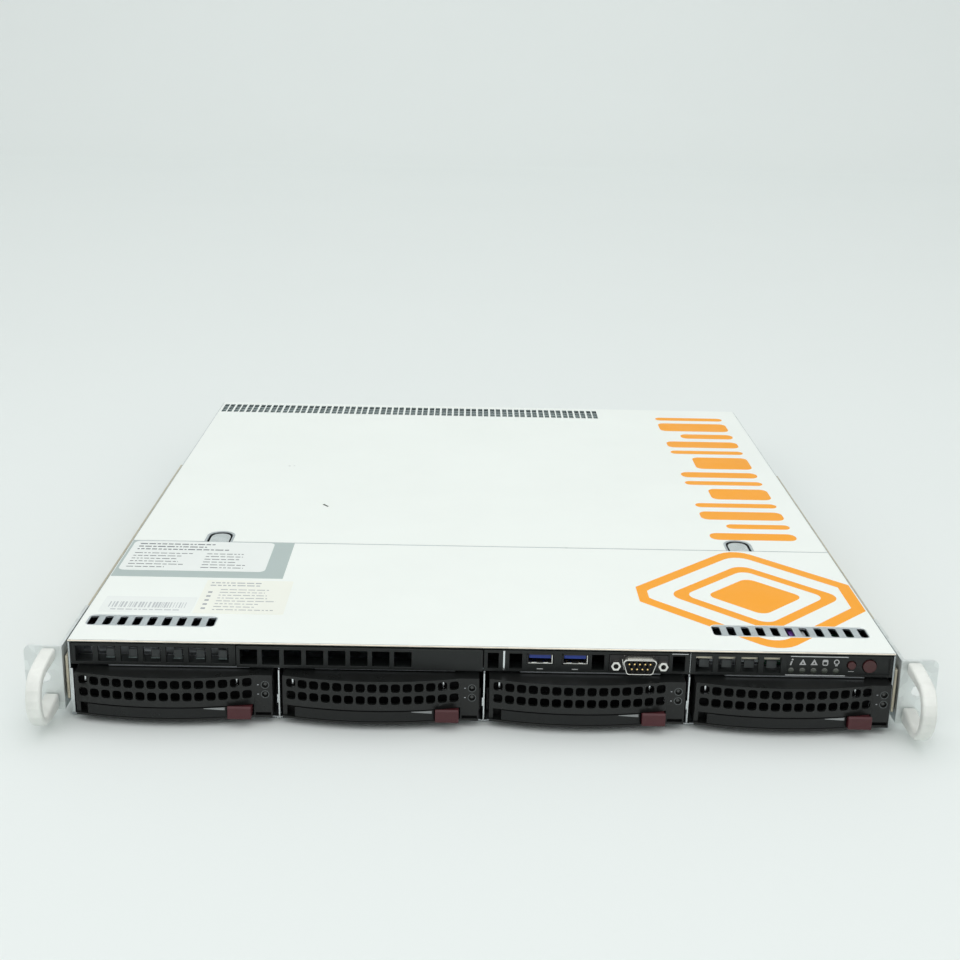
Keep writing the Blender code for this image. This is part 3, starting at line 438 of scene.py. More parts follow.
def dress_nodes():
    """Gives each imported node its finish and, where it shows, rounded edges."""
    for finish, names in NODE_FINISHES.items():
        for name in names:
            node = frame["nodes"][name]
            node.data.materials.clear()
            node.data.materials.append(FINISHES[finish])
            weld = node.modifiers.new("weld", "WELD")
            weld.merge_threshold = 0.000002
            if name in NODE_EDGES:
                soften(node, NODE_EDGES[name], 3 if NODE_EDGES[name] > 1 else 2, 50)


# ---------------------------------------------------------------- covers

LEFT_BAND = ((-214.6, -144.6), (19.4, 34.2))
RIGHT_BAND = ((125.0, 210.2), (19.4, 34.2))
BAND_CORNER = 3.5
REAR_SLOTS = [-216.0 + 10.24 * i for i in range(31)]
REAR_VENT_Y = (471.5, 496.0)
REAR_SLOT = 8.6
REAR_COLUMN = 3.75
NOTCHES = (-165.0, 163.0)
NOTCH_RADIUS = 8.9
NOTCH_REACH = 11.0


def band(u, v, grow=0.0):
    return rounded((u[0] - grow, u[1] + grow), (v[0] - grow, v[1] + grow), BAND_CORNER + grow, 7)


def cover_films():
    """The white printed film on both covers, cut away round the vents and the catches."""
    z = (TOP + 0.01, TOP + FILM)
    side = HALF - 0.5
    front = plate(rectangle((-side, side), (0.6, SEAM - 0.9)), z, "z", [band(*LEFT_BAND), band(*RIGHT_BAND)])
    piece("film_front", front, "film", "chassis")
    outline = [(-side, SEAM + 0.4)]
    for x in NOTCHES:
        r = NOTCH_RADIUS
        outline.append((x - r, SEAM + 0.4))
        outline += arc((x, SEAM + NOTCH_REACH), r, 180, 0, 18)
        outline.append((x + r, SEAM + 0.4))
    outline += [(side, SEAM + 0.4), (side, DEPTH - 0.7), (-side, DEPTH - 0.7)]
    columns = [(x + u, x + u + REAR_COLUMN) for x in REAR_SLOTS
               for u in (0.0, REAR_SLOT - REAR_COLUMN)]
    cells = [rectangle(u, REAR_VENT_Y) for u in columns]
    piece("film_top", plate(outline, z, "z", cells), "film", "top_cover")
    bars = [block((x - 0.02, x + REAR_SLOT + 0.02), (y, y + 1.3), (TOP - 0.9, TOP - 0.1))
            for x in REAR_SLOTS for y in (479.0, 487.2)]
    bars += [block((x + REAR_COLUMN, x + REAR_SLOT - REAR_COLUMN), REAR_VENT_Y, (TOP - 1.1, TOP + 0.01))
             for x in REAR_SLOTS]
    piece("rear_vent_bars", gather(bars), "steel", "top_cover")
    screen = block((REAR_SLOTS[0] - 1, REAR_SLOTS[-1] + 9.6), (470.6, 497.0), (TOP - 2.2, TOP - 1.8))
    piece("rear_vent_screen", screen, "screen_grey", "top_cover")


def front_hem():
    """The folded lip along the front edge of the fixed cover."""
    lip = plate(rounded((-0.4, 0.5), (TOP - 0.8, TOP - 0.05), 0.3, 3), (-HALF + 0.3, HALF - 0.3), "x")
    piece("cover_hem", lip, "hem_steel", "chassis")


def graphic(name, outlines, body, cuts=()):
    """Printed shapes on the film, cut away where the film is."""
    z = (TOP + FILM + 0.005, TOP + FILM + 0.03)
    shape = gather([plate(outline, z, "z", inner) for outline, inner in outlines])
    if cuts:
        shape = boolean(shape, [plate(cut, (z[0] - 1, z[1] + 1), "z") for cut in cuts], "DIFFERENCE")
    piece(name, shape, "orange_print", body)


def diamond(centre, reach, corner):
    """A square standing on its corner, its own corners rounded off."""
    turned = []
    for u, v in rounded((-reach, reach), (-reach, reach), corner, 5):
        turned.append((centre[0] + (u - v) * math.sqrt(0.5), centre[1] + (u + v) * math.sqrt(0.5)))
    return turned


def orange_graphics():
    """A generic decoration: nested diamonds by the front corner and a run of bars behind them."""
    inside = ((90.0, HALF - 1.2), (1.4, SEAM - 1.6))
    centre = (158.0, 78.0)
    cuts = [band(*RIGHT_BAND, 0.6)]
    outer = clipped(diamond(centre, 56.0, 14.0), *inside)
    inner = clipped(diamond(centre, 48.0, 11.0), (96, 210), (10, 146))
    graphic("orange_diamond_ring", [(outer, [inner])], "chassis", cuts)
    core = [(diamond(centre, 36.0, 9.0), [diamond(centre, 29.0, 7.0)]), (diamond(centre, 20.0, 6.0), ())]
    graphic("orange_diamond_core", core, "chassis", cuts)
    bars = []
    y = SEAM + 20.0
    widths = (13.0, 9.0, 17.0, 9.0, 24.0, 9.0, 13.0, 30.0, 9.0, 17.0, 13.0, 24.0, 9.0, 13.0)
    for i, width in enumerate(widths):
        if y + width > DEPTH - 8:
            break
        start = 148.0 if i % 3 != 1 else 162.0
        bars.append((rounded((start, 204.0), (y, y + width), min(width / 2 - 0.2, 5.5), 5), ()))
        y += width + 9.0
    graphic("orange_bars", bars, "top_cover")


def label(name, u, v, finish, marks=(), radius=1.5, base=TOP + FILM, body="chassis", ink="print_dark"):
    """A stuck-on label with its printed marks, each a rectangle in the label's plane."""
    piece(name, plate(rounded(u, v, radius), (base + 0.005, base + 0.10), "z"), finish, body)
    if marks:
        shapes = [plate(rectangle(*mark), (base + 0.10, base + 0.115), "z") for mark in marks]
        piece(name + "_print", gather(shapes), ink, body)


def rows_of_marks(u, v, rows, height, seed, longest=None):
    """Rows of dashes that read as print from a distance and hold no letters."""
    chosen = random.Random(seed)
    marks = []
    pitch = (v[1] - v[0]) / rows
    for row in range(rows):
        y = v[1] - pitch * (row + 0.75)
        x = u[0]
        end = u[0] + (u[1] - u[0]) * (chosen.uniform(0.55, 1.0) if longest is None else longest)
        while x < end:
            length = chosen.uniform(1.2, 5.0)
            marks.append(((x, min(x + length, end)), (y, y + height)))
            x += length + 0.9
    return marks


def labels():
    top = TOP + FILM
    label("grey_patch", (-217.6, -117.0), (92.0, SEAM - 1.0), "grey_label", radius=0.3)
    marks = rows_of_marks((-212.0, -136.0), (136.0, 150.0), 3, 1.5, 1)
    marks += rows_of_marks((-212.0, -176.0), (106.0, 134.0), 6, 1.0, 2)
    marks += rows_of_marks((-168.0, -134.0), (106.0, 134.0), 6, 1.0, 3)
    label("rating_label", (-216.0, -129.0), (102.0, SEAM - 1.6), "white_label", marks, 4.0, top + 0.1)
    form = rows_of_marks((-157.0, -113.0), (78.0, 86.0), 2, 1.4, 4)
    form += rows_of_marks((-150.0, -116.0), (42.0, 76.0), 8, 1.0, 5)
    form += [((-156.6, -154.2), (y, y + 2.4)) for y in (44.0, 50.0, 56.0, 62.0, 68.0)]
    label("form_label", (-160.0, -110.0), (38.0, 88.0), "cream_label", form, 1.0, ink="print_grey")
    stripes = []
    x = -208.0
    chosen = random.Random(11)
    while x < -165.0:
        width = chosen.choice((0.4, 0.7, 1.1))
        stripes.append(((x, x + width), (45.0, 53.0)))
        x += width + chosen.choice((0.5, 0.8, 1.2))
    stripes += rows_of_marks((-206.0, -168.0), (40.5, 44.0), 1, 1.3, 12, 1.0)
    label("stripe_label", (-212.0, -161.0), (38.0, 61.0), "white_label", stripes, 1.0, ink="stripe_print")
    strokes = [[(-107.4, 230.6), (-103.6, 226.2), (-102.6, 227.0), (-106.2, 232.0)],
               [(-141.0, 318.5), (-139.6, 318.7), (-139.6, 319.2), (-141.0, 319.0)],
               [(-137.2, 319.3), (-136.4, 319.4), (-136.4, 319.8), (-137.2, 319.7)]]
    shapes = [plate(stroke, (top, top + 0.01), "z") for stroke in strokes]
    piece("film_scratches", gather(shapes), "scuff", "top_cover")


# ---------------------------------------------------------------- front row

def screw(centre, radius, face, axis, out, recess=0.55):
    """A pan-head screw with a cross recess. It stands on face and points along out, +1 or -1."""
    height = radius * 0.6
    head = lathe([(radius, face), (radius, face + out * height * 0.35),
                  (radius * 0.82, face + out * height * 0.85),
                  (radius * 0.5, face + out * height), (0, face + out * height)], centre, axis, 20)
    span = sorted((face + out * height * 0.45, face + out * (height + 1)))
    reach, half = radius * recess, radius * 0.11
    u, v = centre
    cross = [plate(rectangle((u - reach, u + reach), (v - half, v + half)), span, axis),
             plate(rectangle((u - half, u + half), (v - reach, v + reach)), span, axis)]
    return boolean(head, cross, "DIFFERENCE")


COMB_PITCH = 8.0
COMB_SLOT = 4.0


def behind_windows():
    """Slotted steel walls inside the vents, and what shows through the bezels' windows."""
    combs = {"left": ((-216.0, -132.0), -211.5, 10, 40.2), "right": ((111.5, 149.6), 115.5, 5, 38.0)}
    for side, (span, first, count, top) in combs.items():
        slots = [first + COMB_PITCH * i for i in range(count)]
        holes = [rectangle((x - COMB_SLOT / 2, x + COMB_SLOT / 2), (31.6, top)) for x in slots]
        comb = plate(rectangle(span, (30.0, 41.3)), (12.6, 13.4), "y", holes)
        piece(f"vent_comb_{side}", comb, "steel", "chassis")
    left_windows = [-214.6 + 11.9 * i for i in range(1, 7)]
    right_windows = [112.6 + 12.0 * i for i in range(4)]
    ribs = [block((x + 3.0, x + 7.6), (5.0, 5.8), (31.6, 36.4)) for x in left_windows]
    ribs += [block((x + 2.6, x + 8.2), (5.0, 5.8), (31.3, 36.0)) for x in right_windows]
    piece("window_ribs", gather(ribs), "dim_grey", "chassis", 0.3)
    ledges = [block((x + 3.0, x + 7.6), (4.2, 5.0), (31.4, 31.7)) for x in left_windows]
    piece("window_ledges", gather(ledges), "screen_grey", "chassis", 0.1)
    strips = [block((x + 0.2, x + 9.0), (1.8, 2.3), (37.9, 39.3)) for x in right_windows]
    piece("window_strips", gather(strips), "dim_cream", "chassis", 0.2)
    parts = {"violet": (168.0, 171.6), "clear_plastic_and_highlight": (174.2, 177.0), "latch_green": (179.4, 182.8)}
    for finish, x in parts.items():
        piece("glimpse_" + finish, block(x, (28.0, 40.0), (38.2, 40.4)), finish, "chassis", 0.4)


def side_fold_shadows():
    """The folded sides of both covers: a dark brown strip, partly the bare edge where the print ends and
    partly painted shadow in the fold against the rail.
    """
    lengths = {"front": ((1.0, SEAM - 0.8), "chassis"), "top": ((SEAM + 0.6, DEPTH - 0.8), "top_cover")}
    for name, (y, body) in lengths.items():
        for side, word in ((-1, "left"), (1, "right")):
            x = sorted((side * (HALF + 0.01), side * (HALF + 0.22)))
            piece(f"side_fold_shadow_{name}_{word}", block(x, y, (TOP - 1.1, TOP - 0.3)), "fold_shadow_brown", body)


FIRST_BAY = -216.2
BAY_PITCH = 108.85


def steel_edges_and_glints():
    """Bare steel that shows between the front pieces: sheet edges and the ends of the dividers, with two
    bright strips on the bezel faces that are painted highlights.
    """
    strips = [block((109.66, 109.94), (0.0, 3.0), (30.0, 41.4)),
              # Painted highlights: this strip and the next are bright lines laid on the bezel faces.
              block((10.7, 11.7), (-0.6, -0.38), (30.2, 41.2)),
              block((99.8, 108.5), (-0.6, -0.38), (40.9, 41.2)),
              block((-218.4, -216.4), (-0.35, -0.05), (1.5, 27.0))]
    for i in (1, 2, 3):
        x = FIRST_BAY + BAY_PITCH * i - 0.5
        strips += [block((x - 0.4, x + 0.4), (-0.5, 0.5), (1.2, 27.8)),
                   block((x - 1.0, x - 0.35), (-0.5, 0.3), (9.0, 14.0)),
                   block((x - 1.6, x + 1.6), (-0.5, 0.0), (0.1, 1.0))]
    piece("steel_edges_and_glints", gather(strips), "bright_steel", "chassis", 0.08)


def lens(centre, radius, face, out=-1, steps=18):
    """A domed light-emitting diode in a front face."""
    return lathe([(radius, face + 0.8 * -out), (radius, face), (radius * 0.8, face + out * 0.3),
                  (radius * 0.4, face + out * 0.48), (0, face + out * 0.5)], centre, "y", steps)


def d_outline(x, z, half_width, half_height):
    """The outline of a D connector: its lower side shorter than its upper one."""
    shape = ((0.81, -1.0), (0.89, -0.8), (1.0, 0.45), (0.95, 0.85), (0.87, 1.0))
    right = [(x + half_width * u, z + half_height * v) for u, v in shape]
    return right + [(2 * x - u, v) for u, v in reversed(right)]


SERIAL_Z = 35.4
POST_OFFSET = 12.5
ICON_Z = 37.2
LED_Z = 32.4
INDICATORS = (163.5, 169.5, 175.5, 181.4, 187.4)


def control_panel():
    """Indicator lights with plain pictograms, and pale lips on the window edge round them that are painted
    highlights.
    """
    face = 0.42
    piece("status_lights", gather([lens((x, LED_Z), 1.65, face) for x in INDICATORS]), "led_dull", "chassis")
    span = (face - 0.04, face + 0.1)
    a, b, c, d, e = INDICATORS
    low, high = ICON_Z - 1.7, ICON_Z + 0.6
    stroke = [(a - 0.9, low), (a - 0.1, low), (a + 0.5, high), (a - 0.3, high)]
    marks = [plate(stroke, span, "y"), plate(circle((a + 0.4, ICON_Z + 1.5), 0.5, 10), span, "y")]
    for x in (b, c):
        outer = [(x - 1.9, ICON_Z - 1.5), (x + 1.9, ICON_Z - 1.5), (x, ICON_Z + 1.9)]
        inner = [(x - 0.6, ICON_Z - 0.9), (x + 0.6, ICON_Z - 0.9), (x, ICON_Z + 0.5)]
        marks.append(plate(outer, span, "y", [inner]))
    marks.append(plate(rounded((d - 1.5, d + 1.5), (ICON_Z - 1.7, ICON_Z + 1.7), 0.8, 4), span, "y",
                       [rounded((d - 1.0, d + 1.0), (ICON_Z - 1.2, ICON_Z + 0.4), 0.4, 3)]))
    marks.append(plate(circle((e, ICON_Z + 0.4), 1.5, 18), span, "y", [circle((e, ICON_Z + 0.4), 1.0, 18)]))
    marks.append(plate(rectangle((e - 0.7, e + 0.7), (ICON_Z - 1.9, ICON_Z - 1.3)), span, "y"))
    piece("status_pictograms", gather(marks), "legend", "chassis")
    # Painted highlights: thin pale lips along the window's top and bottom edges, where the glossy plastic
    # catches the light.
    rims = [((162.6, 193.2), (40.8, 41.15)), ((160.4, 192.2), (30.0, 30.4))]
    shapes = [plate(rounded(u, z, 0.16, 3), (-0.75, 0.2), "y") for u, z in rims]
    piece("panel_rim_highlights", gather(shapes), "clear_plastic_and_highlight", "chassis")
    pane = plate(rounded((161.2, 192.0), (31.0, 40.3), 0.6), (0.405, 0.43), "y")
    piece("panel_pane", pane, "window_black", "chassis")
    piece("reset_mark", block((193.9, 196.9), (0.4, 0.46), (32.2, 32.6)), "legend", "chassis")


def front_ports():
    """USB tongues, gold pins in the serial port, the marks under the ports, and black pieces that paint the
    shade inside the USB openings and the serial posts' holes.
    """
    for i in (1, 2):
        (x0, x1), (y0, _), (z0, z1) = node_box(f"usb_port_{i}")
        middle = (x0 + x1) / 2
        tongue = block((middle - 5.75, middle + 5.75), (0.7, 7.9), (z1 - 2.85, z1 - 0.85))
        piece(f"usb_tongue_{i}", tongue, "usb_blue", "chassis", 0.15)
        contacts = [block((middle + dx - 0.5, middle + dx + 0.5), (1.1, 6.0), (z1 - 2.92, z1 - 2.84))
                    for dx in (-3.5, -1.2, 1.2, 3.5)]
        piece(f"usb_contacts_{i}", gather(contacts), "gold", "chassis")
        springs = [block((middle + dx - 1.3, middle + dx + 1.3), (y0 - 0.02, y0 + 3.0), (z0 + 0.4, z0 + 0.75))
                   for dx in (-3.1, 3.1)]
        piece(f"usb_springs_{i}", gather(springs), "shell_metal", "chassis")
        # Painted shade: black strips over the USB shell's top and left edges and inside the opening.
        shade = [block((x0 - 0.2, x1 + 0.05), (-0.12, 0.08), (z1 - 0.55, z1 + 0.15)),
                 block((x0 - 0.2, x0 + 0.42), (-0.12, 0.08), (z0, z1)),
                 block((middle - 6.1, middle + 6.1), (1.0, 7.9), (z0 + 0.45, z0 + 0.6)),
                 block((middle - 6.1, middle + 6.1), (7.7, 7.9), (z0 + 0.6, z1 - 0.6))]
        piece(f"usb_shade_{i}", gather(shade), "port_black", "chassis")
    (x0, x1), _, _ = node_box("serial_port")
    middle, height = (x0 + x1) / 2, SERIAL_Z
    pins, shafts = [], []
    for z, count in ((height + 1.4, 5), (height - 1.4, 4)):
        for k in range(count):
            x = middle + 2.77 * (k - (count - 1) / 2)
            shafts.append(lathe([(0.76, 0.5), (0.76, -5.06), (0, -5.06)], (x, z), "y", 12))
            pins.append(lathe([(0.46, -5.0), (0.46, -5.3), (0.2, -5.5), (0, -5.5)], (x, z), "y", 12))
    piece("serial_pins", gather(pins), "gold", "chassis")
    piece("serial_pin_sleeves", gather(shafts), "port_black", "chassis")
    crown = rounded((middle - 6.6, middle + 6.6), (height + 4.3, height + 4.65), 0.15)
    piece("serial_crown", plate(crown, (-5.6, -0.5), "y"), "shell_metal", "chassis")
    outline = rounded((middle - 8.0, middle + 8.0), (height - 3.6, height + 3.6), 1.4)
    insert = plate(outline, (-0.6, -0.2), "y")
    sides = (middle - POST_OFFSET, middle + POST_OFFSET)
    openings = [d_outline(middle, height, 8.95, 4.28), *(circle((x, height), 2.2, 18) for x in sides)]
    surround = plate(rectangle((middle - 15.6, middle + 15.6), (31.0, 39.9)), (-0.4, -0.22), "y", openings)
    # Painted shade: black discs in the posts' holes.
    post_hole_shades = [plate(circle((x, height), 1.3, 14), (-0.9, -0.3), "y") for x in sides]
    piece("serial_insert", gather([insert, surround, *post_hole_shades]), "port_black", "chassis")
    marks = [((x - 1.6, x + 1.6), (31.0, 31.5)) for x in (30.2, 48.8)]
    shapes = [plate(rectangle(*mark), (-0.44, -0.38), "y") for mark in marks]
    piece("port_marks", gather(shapes), "legend", "chassis")


# ---------------------------------------------------------------- drive carriers

TRAY_OUTSET = 1.2
LIGHT_INSET = 3.7
LIGHT_HEIGHTS = (17.0, 22.4)


def carrier_lights():
    """Two lights in each carrier's pockets, their small marks, painted glints from thin bright steel strips
    behind the grille, and a black sheet behind it that paints the shade inside.
    """
    for i in CARRIERS:
        (x0, x1), _, _ = node_box(f"drive_carrier_{i}")
        body = f"drive_carrier_{i}"
        left, right = x0 + TRAY_OUTSET, x1 - TRAY_OUTSET
        centres = [(right - LIGHT_INSET, z) for z in LIGHT_HEIGHTS]
        lights = [lens(centre, 1.35, -5.9) for centre in centres]
        piece(f"carrier_lights_{i}", gather(lights), "led_dark", body)
        rims = [plate(circle(centre, 2.2, 22), (-7.07, -6.98), "y", [circle(centre, 1.85, 22)])
                for centre in centres]
        piece(f"carrier_light_rims_{i}", gather(rims), "dim_grey", body)
        marks = [plate(rectangle((right - 7.8, right - 7.0), (z - 0.2, z + 0.2)), (-7.05, -6.98), "y")
                 for z in LIGHT_HEIGHTS]
        piece(f"carrier_marks_{i}", gather(marks), "print_grey", body)
        # Painted glints: thin bright strips behind two grille holes.
        glints = [block((left + x - 0.35, left + x + 0.35), (-4.9, -4.7), z)
                  for x, z in ((5.2, (22.0, 25.4)), (84.6, (21.0, 26.4)))]
        piece(f"carrier_glints_{i}", gather(glints), "bright_steel", body)
        # Painted shade: a near-black sheet and floor behind the grille holes.
        x = (left + 2.4, left + 92.6)
        shade_sheet = [block(x, (-4.6, -4.3), (11.9, 26.7)), block(x, (-4.6, -0.6), (11.72, 11.9))]
        piece(f"grille_shade_sheet_{i}", gather(shade_sheet), "painted_shade_black", body)


def bulge(distance):
    """How far the curved carrier face stands forward, at a distance from the carrier's left edge."""
    half, depth = 46.3, 6.0
    radius = (half ** 2 + depth ** 2) / (2 * depth)
    return math.sqrt(radius ** 2 - min(abs(distance - 1.0 - half), half) ** 2) - (radius - depth)


CARRIER_FACE = -7.0
LEVER_TOP = 10.75


def lever_end_highlights():
    """A lighter grey strip on the flank where each lever narrows towards its release tab, a painted highlight
    of the glossy plastic there.
    """
    for i in CARRIERS:
        left = node_box(f"drive_carrier_{i}")[0][0] + TRAY_OUTSET
        start, step = 68.0, 1.2
        stations = [start + step * k for k in range(10)]
        shape = bmesh.new()
        rows = []
        for s in stations:
            depth = 0.25 + 0.125 * (s - start)
            y = CARRIER_FACE - 0.48 - bulge(s)
            z = LEVER_TOP - depth
            corners = ((y, LEVER_TOP), (y, z), (y + 0.14, z), (y + 0.14, LEVER_TOP))
            rows.append([shape.verts.new((left + s, *corner)) for corner in corners])
        for low, high in zip(rows, rows[1:]):
            for k in range(4):
                shape.faces.new((low[k - 1], low[k], high[k], high[k - 1]))
        shape.faces.new(rows[0])
        shape.faces.new(rows[-1])
        bmesh.ops.recalc_face_normals(shape, faces=shape.faces)
        piece(f"lever_end_highlight_{i}", shape, "lever_end_highlight", f"carrier_lever_{i}")


# ---------------------------------------------------------------- rear

def lining(u, v, y, t=0.2):
    """Thin walls and a back for a rectangular socket that opens to the rear."""
    return [block(u, (y[0], y[0] + 0.4), v), block((u[0], u[0] + t), y, v), block((u[1] - t, u[1]), y, v),
            block(u, y, (v[0], v[0] + t)), block(u, y, (v[1] - t, v[1]))]


def c14_outline(x, z, half_width, half_height):
    cut = 5.0
    return [(x - half_width, z - half_height), (x + half_width, z - half_height),
            (x + half_width, z + half_height - cut), (x + half_width - cut, z + half_height),
            (x - half_width + cut, z + half_height), (x - half_width, z + half_height - cut)]


REAR_USB_X = 76.0
REAR_USB_Z = ((9.0, 14.0), (16.0, 21.0))
REAR_D_PORTS = (("video", 20.5, "video_blue", (5, 5, 5)), ("serial", 52.0, "port_black", (5, 4)))
REAR_D_Z = 13.6
INLET = (15.8, 15.2)


def rear_sockets():
    """The network, USB, video and serial sockets at the rear."""
    face = DEPTH + 0.4
    (g0, g1), _, (_, gang_top) = node_box("network_ports")
    pitch = (g1 - g0) / 3
    dark, contacts, green, amber = [], [], [], []
    for i in range(3):
        x = g0 + pitch * (i + 0.5)
        dark += lining((x - 5.88, x + 5.88), (9.62, 17.58), (490.0, face - 0.1))
        contacts += [block((x + dx - 0.25, x + dx + 0.25), (493.0, 501.0), (16.6, 17.0)) for dx in
                     [1.02 * (k - 3.5) for k in range(8)]]
        green.append(block((x - 5.6, x - 3.0), (face, face + 0.08), (gang_top - 2.6, gang_top - 1.0)))
        amber.append(block((x + 3.0, x + 5.6), (face, face + 0.08), (gang_top - 2.6, gang_top - 1.0)))
    piece("network_linings", gather(dark), "port_black", "chassis")
    piece("network_contacts", gather(contacts), "gold", "chassis")
    piece("network_lights_green", gather(green), "led_green", "chassis")
    piece("network_lights_amber", gather(amber), "orange_print", "chassis")
    x = REAR_USB_X
    openings = [rectangle((x - 6.2, x + 6.2), z) for z in REAR_USB_Z]
    shell = plate(rectangle((x - 7.25, x + 7.25), (7.2, 22.7)), (face - 0.6, face + 0.12), "y", openings)
    piece("rear_usb_shell", shell, "shell_metal", "chassis", 0.1)
    dark = [wall for z in REAR_USB_Z
            for wall in lining((x - 6.18, x + 6.18), (z[0] + 0.02, z[1] - 0.02), (491.0, face))]
    piece("rear_usb_linings", gather(dark), "port_black", "chassis")
    tongues = [block((x - 5.6, x + 5.6), (491.5, DEPTH - 0.2), (z[1] - 2.2, z[1] - 0.6)) for z in REAR_USB_Z]
    piece("rear_usb_tongues", gather(tongues), "usb_blue", "chassis", 0.15)
    z = REAR_D_Z
    for name, x, finish, rows in REAR_D_PORTS:
        opening = d_outline(x, z, 8.25, 4.45)
        ring = plate(d_outline(x, z, 8.5, 4.7), (DEPTH - 0.1, DEPTH + 3.1), "y", [opening])
        piece(f"rear_{name}_shell", ring, "shell_metal", "chassis", 0.08)
        face_plate = plate(d_outline(x, z, 8.0, 4.2), (DEPTH + 3.02, DEPTH + 3.2), "y")
        piece(f"rear_{name}_face", face_plate, finish, "chassis")
        dots = []
        for r, count in enumerate(rows):
            for k in range(count):
                at = (x + 2.3 * (k - (count - 1) / 2), z + 2.2 * ((len(rows) - 1) / 2 - r))
                dots.append(plate(circle(at, 0.42, 10), (DEPTH + 3.2, DEPTH + 3.25), "y"))
        piece(f"rear_{name}_holes", gather(dots), "gold" if name == "serial" else "port_black", "chassis")
        posts = [plate(circle((x + dx, z), 2.6, 6), (DEPTH - 0.2, DEPTH + 3.4), "y",
                       [circle((x + dx, z), 1.3, 12)]) for dx in (-POST_OFFSET, POST_OFFSET)]
        piece(f"rear_{name}_posts", gather(posts), "bright_steel", "chassis", 0.15)


def rear_details():
    """Screws, the sockets' parts, and each power module's inlet lining, label and status light."""
    rear_sockets()
    screws = [screw((x, z), 2.6, DEPTH, "y", 1) for x, z in ((-92.5, 30.0), (-212.5, 20.0), (98.0, 38.0))]
    piece("rear_screws", gather(screws), "bright_steel", "chassis")
    for i in MODULES:
        (x0, x1), (y0, _), (_, z1) = node_box(f"power_module_{i}")
        body = f"power_module_{i}"
        piece(f"module_light_{i}", lens((x0 + 43.5, 37.0), 1.5, DEPTH + 0.8, 1), "led_green", body)
        screws = [screw((x0 + u, z), 1.9, DEPTH + 0.8, "y", 1) for u, z in ((3.2, 4.8), (31.0, 4.8))]
        piece(f"module_screws_{i}", gather(screws), "bright_steel", body)
        x, z = x0 + INLET[0], INLET[1]
        opening = c14_outline(x, z, 11.8, 8.0)
        sleeve = plate(c14_outline(x, z, 12.16, 8.36), (487.4, DEPTH - 0.2), "y", [opening])
        frame_ring = plate(c14_outline(x, z, 13.5, 9.6), (DEPTH - 0.2, DEPTH + 0.1), "y", [opening])
        back = plate(c14_outline(x, z, 12.1, 8.3), (487.02, 487.3), "y")
        piece(f"inlet_lining_{i}", gather([sleeve, frame_ring, back]), "port_black", body)
        rows = rows_of_marks((x0 + 8.0, x1 - 16.0), (y0 + 44.0, y0 + 96.0), 9, 1.2, 20 + i)
        area = ((x0 + 5.0, x1 - 5.0), (y0 + 40.0, y0 + 104.0))
        label(f"module_label_{i}", *area, "white_label", rows, 1.5, z1, body)


# ---------------------------------------------------------------- inside

def drive_labels():
    for i in CARRIERS:
        (x0, x1), (y0, y1), (_, z1) = node_box(f"hard_drive_{i}")
        rows = rows_of_marks((x0 + 16.0, x1 - 30.0), (y0 + 34.0, y1 - 52.0), 8, 1.6, 30 + i)
        label(f"drive_label_{i}", (x0 + 12.0, x1 - 12.0), (y0 + 26.0, y1 - 44.0), "white_label", rows, 2.0,
              z1, f"drive_carrier_{i}", "print_grey")


BOARD_TOP = 7.6
MEMORY_SOCKETS = (-44.0, -34.0)


